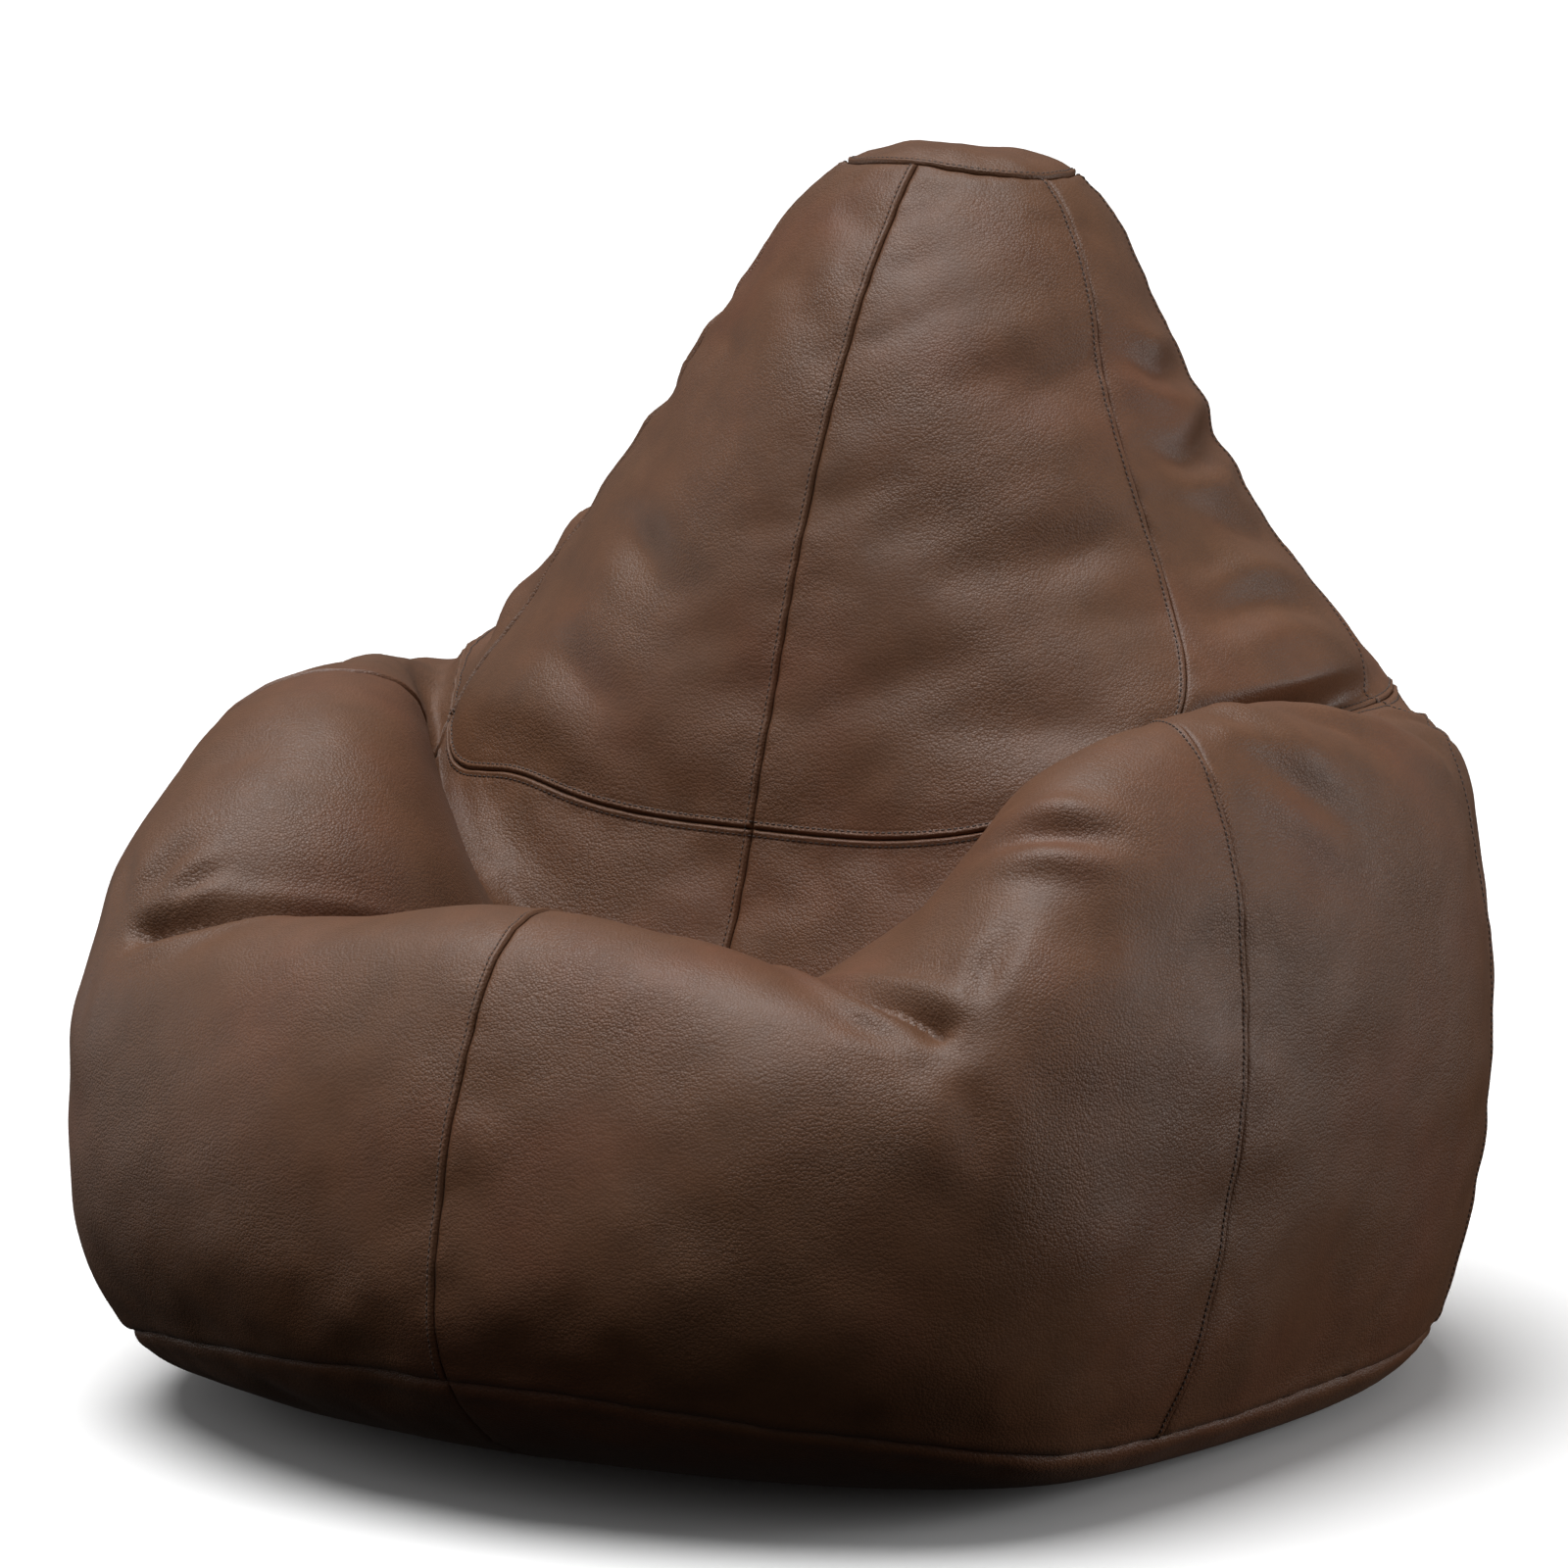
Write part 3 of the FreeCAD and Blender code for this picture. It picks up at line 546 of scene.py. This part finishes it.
def mesh_object(name, points, faces, material):
    """A smooth-shaded mesh object from arrays of points and of faces with equal numbers of corners."""
    mesh = bpy.data.meshes.new(name)
    corners = faces.shape[1]
    mesh.vertices.add(len(points))
    mesh.vertices.foreach_set("co", points.astype(np.float32).ravel())
    mesh.loops.add(faces.size)
    mesh.loops.foreach_set("vertex_index", faces.astype(np.int32).ravel())
    mesh.polygons.add(len(faces))
    mesh.polygons.foreach_set("loop_start", np.arange(0, faces.size, corners, dtype=np.int32))
    mesh.update(calc_edges=True)
    mesh.validate()
    mesh.shade_smooth()
    mesh.materials.append(material)
    piece = bpy.data.objects.new(name, mesh)
    bpy.context.collection.objects.link(piece)
    return piece


def grid_faces(rows, columns, closed=False):
    """Faces of a grid whose rows run down and whose columns run round, facing outwards."""
    index = np.arange(rows * columns).reshape(rows, columns)
    if closed:
        index = np.concatenate([index, index[:, :1]], axis=1)
    corners = (index[:-1, :-1], index[1:, :-1], index[1:, 1:], index[:-1, 1:])
    return np.stack(corners, axis=-1).reshape(-1, 4)


def merge_close(piece, gap):
    """Joins points nearer than gap, where a grid's lines run together."""
    mesh = bmesh.new()
    mesh.from_mesh(piece.data)
    bmesh.ops.remove_doubles(mesh, verts=mesh.verts, dist=gap)
    bmesh.ops.dissolve_degenerate(mesh, edges=mesh.edges, dist=gap / 4)
    mesh.to_mesh(piece.data)
    mesh.free()


def sheet_piece(name, grid, material, thickness, closed=False):
    """A grid of points as a sheet of leather or cloth, whose thickness goes inwards."""
    rows, columns = grid.shape[:2]
    piece = mesh_object(name, grid.reshape(-1, 3), grid_faces(rows, columns, closed), material)
    solid = piece.modifiers.new("thickness", "SOLIDIFY")
    solid.thickness = thickness
    solid.offset = -1
    return piece


def place(piece, slot, *nodes):
    """The piece moves with the bag and stands for these CAD nodes."""
    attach(piece, "bag")
    if nodes:
        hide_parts(*nodes)
    return piece


# ------------------------------------------------------------------ stitches

STITCH_PITCH = 4 * MM
# rings along one visible stitch: (place along it, height above the leather, radius), in mm
STITCH_RINGS = ((-1.5, -0.4, 0.25), (-1.2, 0.15, 0.48), (-0.45, 0.4, 0.56),
                (0.45, 0.4, 0.56), (1.2, 0.15, 0.48), (1.5, -0.4, 0.25))
STITCH_SIDES = 6


def stitches_on(line, normals):
    """Points of the stitches along a line of leather points, one stitch per pitch."""
    run = run_lengths(line)
    count = int((run[-1] - STITCH_PITCH) / STITCH_PITCH)
    if count < 1:
        return np.zeros((0, 3))
    spots = (np.arange(count) + 0.5) * run[-1] / count

    def at(distance):
        return np.stack([np.interp(distance, run, line[:, axis]) for axis in range(3)], axis=-1)

    middle = at(spots)
    along = unit(at(spots + 1 * MM) - at(spots - 1 * MM))
    up = unit(np.stack([np.interp(spots, run, normals[:, axis]) for axis in range(3)], axis=-1))
    beside = unit(np.cross(along, up))
    up = np.cross(beside, along)
    rings = []
    for forward, height, radius in STITCH_RINGS:
        for side in range(STITCH_SIDES):
            turn = 2 * math.pi * side / STITCH_SIDES
            lift = height + radius * math.sin(turn)
            rings.append(middle + (along * forward + up * lift + beside * radius * math.cos(turn)) * MM)
    return np.stack(rings, axis=1).reshape(-1, 3)


def stitch_faces(count):
    """Faces of this many stitches, each a closed tube of STITCH_RINGS."""
    faces = []
    for ring in range(len(STITCH_RINGS) - 1):
        for side in range(STITCH_SIDES):
            after = (side + 1) % STITCH_SIDES
            low, high = ring * STITCH_SIDES, (ring + 1) * STITCH_SIDES
            faces.append((low + side, high + side, high + after, low + after))
    last = (len(STITCH_RINGS) - 1) * STITCH_SIDES
    for base, order in ((0, (0, 1, 2, 3)), (0, (0, 3, 4, 5)), (last, (3, 2, 1, 0)), (last, (5, 4, 3, 0))):
        faces.append(tuple(base + corner for corner in order))
    one = np.array(faces)
    size = len(STITCH_RINGS) * STITCH_SIDES
    return (one[None] + size * np.arange(count)[:, None, None]).reshape(-1, 4)


def thread_piece(name, lines):
    """All the stitches along these (points, normals) lines, as one piece."""
    points = np.concatenate([stitches_on(line, normals) for line, normals in lines])
    count = len(points) // (len(STITCH_RINGS) * STITCH_SIDES)
    place(mesh_object(name, points, stitch_faces(count), thread), "leather")


# ------------------------------------------------------------------ materials

def new_material(name):
    """A material with a principled shader: (material, add-a-node function, link function, shader)."""
    material = bpy.data.materials.new(name)
    material.use_nodes = True
    tree = material.node_tree
    shader = tree.nodes["Principled BSDF"]

    def node(kind, **settings):
        made = tree.nodes.new("ShaderNode" + kind)
        for key, value in settings.items():
            if hasattr(made, key):
                setattr(made, key, value)
            else:
                made.inputs[key.replace("_", " ")].default_value = value
        return made

    return material, node, tree.links.new, shader


def ramp(node, link, source, stops):
    """A colour ramp over source, with (place, colour) stops."""
    made = node("ValToRGB")
    elements = made.color_ramp.elements
    while len(elements) < len(stops):
        elements.new(0.5)
    for element, (position, colour) in zip(elements, stops):
        element.position = position
        element.color = (*colour, 1)
    link(source, made.inputs["Fac"])
    return made.outputs["Color"]


def math_node(node, link, operation, first, second):
    """A math node on two values, each an output or a number."""
    made = node("Math", operation=operation)
    for socket, value in zip(made.inputs, (first, second)):
        if isinstance(value, (int, float)):
            socket.default_value = value
        else:
            link(value, socket)
    return made.outputs["Value"]


def mix_colours(node, link, share, first, second, blend="MIX"):
    """A colour mix; share and the colours are outputs, numbers or colours."""
    made = node("Mix", data_type="RGBA", blend_type=blend)
    for socket, value in ((made.inputs[0], share), (made.inputs[6], first), (made.inputs[7], second)):
        if hasattr(value, "is_linked"):
            link(value, socket)
        elif isinstance(value, tuple):
            socket.default_value = (*value, 1)
        else:
            socket.default_value = value
    return made.outputs[2]


def leather_material():
    """Brown full-grain leather: pebbled, with soft mottling, and worn smoother in patches."""
    material, node, link, shader = new_material("leather")
    place_on = node("TexCoord").outputs["Object"]

    def noise(scale, detail=2.0, rough=0.5):
        made = node("TexNoise", Scale=scale, Detail=detail, Roughness=rough)
        link(place_on, made.inputs["Vector"])
        return made.outputs["Fac"]

    # colour: slow red-brown mottling and finer marks, with painted shade darkening the grain valleys
    mottling = ramp(node, link, noise(7.5, 3), [
        (0.36, (0.118, 0.050, 0.021)), (0.52, (0.127, 0.052, 0.022)), (0.68, (0.137, 0.051, 0.022))])
    marks = ramp(node, link, noise(46, 4, 0.6), [(0.35, (0.86, 0.86, 0.86)), (0.65, (1.0, 1.0, 1.0))])
    colour = mix_colours(node, link, 1.0, mottling, marks, "MULTIPLY")

    # grain: bent pebbles of about 2 mm, each with fine pores
    bend = node("TexNoise", Scale=260, Detail=2.0)
    link(place_on, bend.inputs["Vector"])
    shifted = node("VectorMath", operation="SCALE")
    shifted.inputs["Scale"].default_value = 0.0016
    link(bend.outputs["Color"], shifted.inputs[0])
    bent = node("VectorMath", operation="ADD")
    link(place_on, bent.inputs[0])
    link(shifted.outputs[0], bent.inputs[1])
    pebbles = node("TexVoronoi", feature="SMOOTH_F1", Scale=500, Smoothness=0.3)
    link(bent.outputs[0], pebbles.inputs["Vector"])
    creases = node("TexVoronoi", feature="DISTANCE_TO_EDGE", Scale=500)
    link(bent.outputs[0], creases.inputs["Vector"])
    crease = ramp(node, link, creases.outputs["Distance"], [(0.0, (0, 0, 0)), (0.14, (1, 1, 1))])
    pores = noise(2300, 2)
    pebble = math_node(node, link, "SUBTRACT", 1.0, pebbles.outputs["Distance"])
    grain = math_node(node, link, "ADD", pebble, math_node(node, link, "MULTIPLY", crease, 0.35))
    grain = math_node(node, link, "ADD", grain, math_node(node, link, "MULTIPLY", pores, 0.22))
    boldness = ramp(node, link, noise(9, 3), [(0.35, (0.35, 0.35, 0.35)), (0.65, (1, 1, 1))])
    height = math_node(node, link, "MULTIPLY", grain, boldness)
    soft = math_node(node, link, "MULTIPLY", noise(95, 3), 0.7)
    height = math_node(node, link, "ADD", height, soft)
    bump = node("Bump", Strength=0.8, Distance=0.00045)
    link(height, bump.inputs["Height"])
    link(bump.outputs["Normal"], shader.inputs["Normal"])
    # painted shade: the colour is darkened by up to 15% in the grain valleys between the pebbles, where the
    # bump dips
    painted_valley_shade = mix_colours(node, link, 1.0, colour, crease, "MULTIPLY")
    link(mix_colours(node, link, 0.15, colour, painted_valley_shade), shader.inputs["Base Color"])

    # gloss: a satin finish, rubbed smoother in slow patches
    patches = ramp(node, link, noise(11, 4, 0.6), [(0.3, (0.40, 0.40, 0.40)), (0.7, (0.50, 0.50, 0.50))])
    rough = math_node(node, link, "ADD", patches, math_node(node, link, "MULTIPLY", pores, 0.06))
    link(rough, shader.inputs["Roughness"])
    shader.inputs["IOR"].default_value = 1.47
    shader.inputs["Specular IOR Level"].default_value = 0.44
    shader.inputs["Sheen Weight"].default_value = 0.05
    shader.inputs["Sheen Roughness"].default_value = 0.45
    shader.inputs["Sheen Tint"].default_value = (0.75, 0.62, 0.54, 1)
    return material


def thread_material():
    """Dark brown twisted polyester thread."""
    material, node, link, shader = new_material("thread")
    place_on = node("TexCoord").outputs["Object"]
    twist = node("TexNoise", Scale=1900, Detail=2.0)
    link(place_on, twist.inputs["Vector"])
    link(ramp(node, link, twist.outputs["Fac"], [(0.3, (0.03, 0.017, 0.012)), (0.7, (0.075, 0.042, 0.03))]),
         shader.inputs["Base Color"])
    bump = node("Bump", Strength=0.5, Distance=0.0001)
    link(twist.outputs["Fac"], bump.inputs["Height"])
    link(bump.outputs["Normal"], shader.inputs["Normal"])
    shader.inputs["Roughness"].default_value = 0.6
    return material


def woven_material(name, dark, light, scale, roughness):
    """Woven cloth or zip tape: crossed threads from two waves."""
    material, node, link, shader = new_material(name)
    place_on = node("TexCoord").outputs["Object"]
    waves = []
    for direction in ("X", "Y"):
        wave = node("TexWave", bands_direction=direction, Scale=scale)
        link(place_on, wave.inputs["Vector"])
        waves.append(wave.outputs["Fac"])
    weave = math_node(node, link, "MAXIMUM", *waves)
    link(ramp(node, link, weave, [(0.1, dark), (0.9, light)]), shader.inputs["Base Color"])
    bump = node("Bump", Strength=0.6, Distance=0.0002)
    link(weave, bump.inputs["Height"])
    link(bump.outputs["Normal"], shader.inputs["Normal"])
    shader.inputs["Roughness"].default_value = roughness
    return material


def bead_material():
    """White polystyrene beads, as a cellular bump, with painted shade greying each bead towards its edge.
    """
    material, node, link, shader = new_material("beads")
    place_on = node("TexCoord").outputs["Object"]
    beads = node("TexVoronoi", feature="F1", Scale=220)
    link(place_on, beads.inputs["Vector"])
    # painted shade: the colour goes from white in each bead's middle to grey at its edge, where the beads
    # meet
    link(ramp(node, link, beads.outputs["Distance"], [(0.2, (0.86, 0.86, 0.84)), (0.7, (0.5, 0.5, 0.49))]),
         shader.inputs["Base Color"])
    round_top = math_node(node, link, "SUBTRACT", 1.0, beads.outputs["Distance"])
    bump = node("Bump", Strength=1.0, Distance=0.002)
    link(round_top, bump.inputs["Height"])
    link(bump.outputs["Normal"], shader.inputs["Normal"])
    shader.inputs["Roughness"].default_value = 0.6
    return material


def moulded_material(name, dark, light, metallic, roughness, scratches):
    """Moulded plastic or plated metal with fine scratches."""
    material, node, link, shader = new_material(name)
    place_on = node("TexCoord").outputs["Object"]
    marks = node("TexNoise", Scale=scratches, Detail=5.0, Roughness=0.65)
    link(place_on, marks.inputs["Vector"])
    link(ramp(node, link, marks.outputs["Fac"], [(0.3, dark), (0.7, light)]), shader.inputs["Base Color"])
    bump = node("Bump", Strength=0.25, Distance=0.00005)
    link(marks.outputs["Fac"], bump.inputs["Height"])
    link(bump.outputs["Normal"], shader.inputs["Normal"])
    spread = math_node(node, link, "MULTIPLY", marks.outputs["Fac"], 0.2)
    link(math_node(node, link, "ADD", spread, roughness - 0.1), shader.inputs["Roughness"])
    shader.inputs["Metallic"].default_value = metallic
    return material


leather = leather_material()
thread = thread_material()
liner_cloth = woven_material("liner_cloth", (0.6, 0.58, 0.53), (0.78, 0.76, 0.71), 320, 0.8)
zip_tape = woven_material("zip_tape", (0.012, 0.008, 0.006), (0.035, 0.024, 0.018), 420, 0.75)
beads = bead_material()
zip_teeth = moulded_material("zip_teeth", (0.02, 0.013, 0.01), (0.035, 0.024, 0.018), 0.0, 0.4, 900)
zip_metal = moulded_material("zip_metal", (0.22, 0.19, 0.16), (0.42, 0.38, 0.33), 1.0, 0.35, 1400)
slack = simulated_slack()

# ------------------------------------------------------------------ the cover

stitch_lines = {"vertical": [], "waist": [], "cap": []}


def keep_line(group, grid, normals, row=None, column=None):
    """Remembers one mesh line of a panel as a line of stitches."""
    chosen = (row, slice(None)) if column is None else (slice(None), column)
    stitch_lines[group].append((grid[chosen], normals[chosen]))


def add_gores():
    """The six gores of the back and the six of the seat and sides."""
    for gore, u_range in GORES.items():
        where, side = gore.split("_")
        names = (f"back_panel_{gore}", f"{LOWER_NAMES[where]}_{side}")
        tiers = ((CAP_SEAM, WAIST_SEAM), (WAIST_SEAM, BASE_SEAM))
        tops = (PLAIN, OPENED)
        bottoms = (OPENED, GATHERED)
        for name, v_range, top, bottom in zip(names, tiers, tops, bottoms):
            grid, normals = panel_points(u_range, v_range, (top, bottom, PLAIN, TURNED))
            piece = sheet_piece("cover_" + name, grid, leather, LEATHER_THICKNESS)
            place(piece, "leather", name)
            keep_line("vertical", grid, normals, column=-1 - STITCH_LINE)
            if v_range[1] == WAIST_SEAM:
                keep_line("waist", grid, normals, row=-1 - STITCH_LINE)
            else:
                keep_line("waist", grid, normals, row=STITCH_LINE)


CAP_COLUMNS = 96
CAP_RINGS = 14
CAP_MIDDLE = 0.05
CAP_CRUMPLE = (12, 34 * MM, 1.1 * MM)   # random seed, wavelength and height
HOLE_REACH = 10 * MM


def fill_hole(piece, middle):
    """Closes the small hole round the middle of a ring of faces with a fan."""
    mesh = bmesh.new()
    mesh.from_mesh(piece.data)
    centre = Vector(middle)
    rim = [edge for edge in mesh.edges
           if edge.is_boundary and (edge.verts[0].co - centre).length < HOLE_REACH]
    apex = mesh.verts.new(centre)
    for edge in rim:
        mesh.faces.new((*edge.verts, apex)).smooth = True
    bmesh.ops.recalc_face_normals(mesh, faces=mesh.faces)
    mesh.to_mesh(piece.data)
    mesh.free()


def add_top_cap():
    """The round cap at the crown, turned in and stitched all round."""
    guide_v = np.linspace(CAP_MIDDLE, CAP_SEAM, 80)
    u = np.arange(CAP_COLUMNS) * COLUMNS / CAP_COLUMNS
    down = run_lengths(surface(*np.meshgrid(u, guide_v, indexing="ij")))
    length = down[:, -1]
    edge = np.array(EDGE_STEPS)[:, None] * MM
    share = np.linspace(0, 1, CAP_RINGS)[:-1, None]
    steps = np.concatenate([share * (length - edge[-1]), length - edge[::-1]])
    v = np.stack([np.interp(steps[:, i], down[i], guide_v) for i in range(CAP_COLUMNS)], axis=1)
    u = np.broadcast_to(u, v.shape)
    points, normals = cover(u, v)
    distance = length - steps
    moved = seam_moves(points, (distance,), (TURNED,))
    crumple = soft_waves(points, *CAP_CRUMPLE) * rise(distance, 2 * MM, 25 * MM)
    grid = points + normals * (moved + crumple)[..., None]
    closed = np.concatenate([grid, grid[:, :1]], axis=1)
    closed_normals = np.concatenate([normals, normals[:, :1]], axis=1)
    piece = sheet_piece("cover_top_cap", grid, leather, LEATHER_THICKNESS, closed=True)
    fill_hole(piece, grid[0].mean(axis=0))
    place(piece, "leather", "top_cap")
    keep_line("cap", closed, closed_normals, row=-1 - STITCH_LINE)


ZIP_LOW, ZIP_HIGH = (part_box("cover_zip_teeth_left")[corner].y for corner in (0, 1))
SLOT_HALF_WIDTH = 6.5 * MM
SLOT_OVERRUN = 8 * MM
MIDDLE_SHRINK = 0.04            # how much shorter the middle line is than the floor ring
BASE_ROWS = 40


def to_middle(ring, z, rows):
    """Rows that run from half of the floor ring in to the middle line, at height z."""
    end_y = ring[:, 1] + MIDDLE_SHRINK * (ring[:, 1].mean() - ring[:, 1])
    near_zip = (end_y > ZIP_LOW - SLOT_OVERRUN) & (end_y < ZIP_HIGH + SLOT_OVERRUN)
    side = np.sign(ring[len(ring) // 2, 0])
    end_x = np.where(near_zip, side * SLOT_HALF_WIDTH, 0.0)
    share = np.linspace(0, 1, rows)[1:, None]
    x = ring[:, 0] + share * (end_x - ring[:, 0])
    y = ring[:, 1] + share * (end_y - ring[:, 1])
    return np.stack([x, y, np.full(x.shape, z)], axis=-1)


def add_base():
    """Two halves of the base, which meet on the middle line and leave a slot for the zip."""
    for side, u_range in (("right", (0, HALF)), ("left", (HALF, COLUMNS))):
        grid, _ = panel_points(u_range, (BASE_SEAM, FLOOR_RING), (GATHERED, FLAT, PLAIN, PLAIN))
        grid[..., 2] = np.maximum(grid[..., 2], 0)
        grid = np.concatenate([grid, to_middle(grid[-1], 0.0, BASE_ROWS)])
        piece = sheet_piece(f"cover_base_panel_{side}", grid, leather, LEATHER_THICKNESS)
        place(piece, "leather", f"base_panel_{side}")


# ------------------------------------------------------------------ the inside

LINER_GAP = 8 * MM
LINER_FLOOR = 5 * MM
LINER_THICKNESS = 0.5 * MM
LINER_COLUMNS = 80
LINER_ROWS = 20
FILL_GAP = 11 * MM
FILL_FLOOR = 9.5 * MM
FILL_COLUMNS = 150
FILL_ROWS = 14
INNER_ROWS = 110
MERGE_GAP = 0.05 * MM


def inner_grid(u, gap, floor):
    """A skin under the cover, gap inside it, whose bottom is at height floor."""
    u, v = np.meshgrid(u, np.linspace(CROWN_ROW, FLOOR_RING, INNER_ROWS))
    points, normals = cover(u, v)
    low = rise(v, BASE_SEAM, FLOOR_RING)
    inside = points - normals * (gap + (floor - gap) * low)[..., None]
    inside[..., 2] = np.maximum(inside[..., 2], floor)
    inside[-1, :, 2] = floor
    return inside


def add_liner():
    """The inner bag, in two halves with a zip slot under the cover's."""
    for side, u_range in (("right", (0, HALF)), ("left", (HALF, COLUMNS))):
        grid = inner_grid(np.linspace(*u_range, LINER_COLUMNS), LINER_GAP, LINER_FLOOR)
        grid = np.concatenate([grid, to_middle(grid[-1], LINER_FLOOR, LINER_ROWS)])
        piece = sheet_piece(f"liner_{side}", grid, liner_cloth, LINER_THICKNESS)
        merge_close(piece, MERGE_GAP)
        place(piece, "liner_cloth", f"inner_liner_{side}")


def add_fill():
    """The bead filling, one closed skin."""
    grid = inner_grid(np.arange(FILL_COLUMNS) * COLUMNS / FILL_COLUMNS, FILL_GAP, FILL_FLOOR)
    top = np.broadcast_to(grid[0].mean(axis=0), grid[:1].shape)
    middle = grid[-1].mean(axis=0)
    share = np.linspace(0, 1, FILL_ROWS)[1:, None, None]
    bottom = grid[-1] + share * (middle - grid[-1])
    grid = np.concatenate([top, grid, bottom])
    faces = grid_faces(*grid.shape[:2], closed=True)
    piece = mesh_object("bead_filling", grid.reshape(-1, 3), faces, beads)
    merge_close(piece, MERGE_GAP)
    place(piece, "beads", "bead_fill")


def finish_zips():
    """Better materials for the zips, whose CAD shapes stay."""
    finishes = {"zip_tape": zip_tape, "zip_teeth": zip_teeth, "zip_slider": zip_metal,
                "zip_end_stops": zip_metal}
    for name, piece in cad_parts.items():
        for word, material in finishes.items():
            if word in name:
                for material_slot in piece.material_slots:
                    material_slot.material = material


add_gores()
add_top_cap()
add_base()
for group, lines in stitch_lines.items():
    thread_piece(f"stitching_{group}", lines)
add_liner()
add_fill()
finish_zips()

# ------------------------------------------------------------------ floor, light and camera


def add_floor():
    """A wide pale floor, which casts no light back up at the chair."""
    bpy.ops.mesh.primitive_plane_add(size=80, location=(0, 0, -0.3 * MM))
    floor = bpy.context.object
    floor.name = "floor"
    floor.visible_diffuse = False
    floor.visible_glossy = False
    material, _, _, shader = new_material("floor")
    shader.inputs["Base Color"].default_value = (0.9, 0.9, 0.9, 1)
    shader.inputs["Roughness"].default_value = 0.8
    floor.data.materials.append(material)
    floor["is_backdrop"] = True


def add_lamp(data, name, location, target=(0, 0, 0.35)):
    """Places a lamp and aims it at the chair."""
    lamp = bpy.data.objects.new(name, data)
    lamp.location = location
    lamp.rotation_euler = (Vector(target) - Vector(location)).to_track_quat("-Z", "Y").to_euler()
    bpy.context.collection.objects.link(lamp)


def add_softbox(name, location, size, power):
    """A soft square light."""
    data = bpy.data.lights.new(name, "AREA")
    data.shape = "SQUARE"
    data.size = size
    data.energy = power
    add_lamp(data, name, location)


def add_overhead(location, spread, strength):
    """A wide, even light from above, as wide across as spread, in degrees."""
    data = bpy.data.lights.new("overhead", "SUN")
    data.angle = math.radians(spread)
    data.energy = strength
    add_lamp(data, "overhead", location)


def add_camera(azimuth=28.0, elevation=12.0, distance=6.5, lens=234.0, target=(0.0, 0.0178, 0.382)):
    """A long lens, as in a product photograph."""
    across, up = math.radians(azimuth), math.radians(elevation)
    back = Vector((math.sin(across) * math.cos(up), -math.cos(across) * math.cos(up), math.sin(up)))
    data = bpy.data.cameras.new("camera")
    data.lens = lens
    data.sensor_width = 36.0
    camera = bpy.data.objects.new("camera", data)
    camera.location = Vector(target) + back * distance
    camera.rotation_euler = (-back).to_track_quat("-Z", "Y").to_euler()
    bpy.context.collection.objects.link(camera)
    bpy.context.scene.camera = camera


def light_world(above, below):
    """White surroundings, brighter above than below the horizon."""
    world = bpy.data.worlds.new("world")
    world.use_nodes = True
    tree = world.node_tree
    height = tree.nodes.new("ShaderNodeSeparateXYZ")
    tree.links.new(tree.nodes.new("ShaderNodeTexCoord").outputs["Generated"], height.inputs[0])
    strength = tree.nodes.new("ShaderNodeMapRange")
    strength.inputs["From Min"].default_value = -0.2
    strength.inputs["From Max"].default_value = 0.6
    strength.inputs["To Min"].default_value = below
    strength.inputs["To Max"].default_value = above
    tree.links.new(height.outputs["Z"], strength.inputs["Value"])
    tree.links.new(strength.outputs["Result"], tree.nodes["Background"].inputs["Strength"])
    tree.nodes["Background"].inputs["Color"].default_value = (1, 1, 1, 1)
    bpy.context.scene.world = world


add_floor()
add_overhead((-0.6, -0.2, 3.2), 45, 3.7)
add_softbox("left", (-3.2, -0.5, 0.6), 1.6, 17)
add_softbox("right", (3.0, 1.3, 0.8), 1.6, 42)
light_world(0.28, 0.01)
add_camera()
bpy.context.scene.view_settings.view_transform = "Standard"
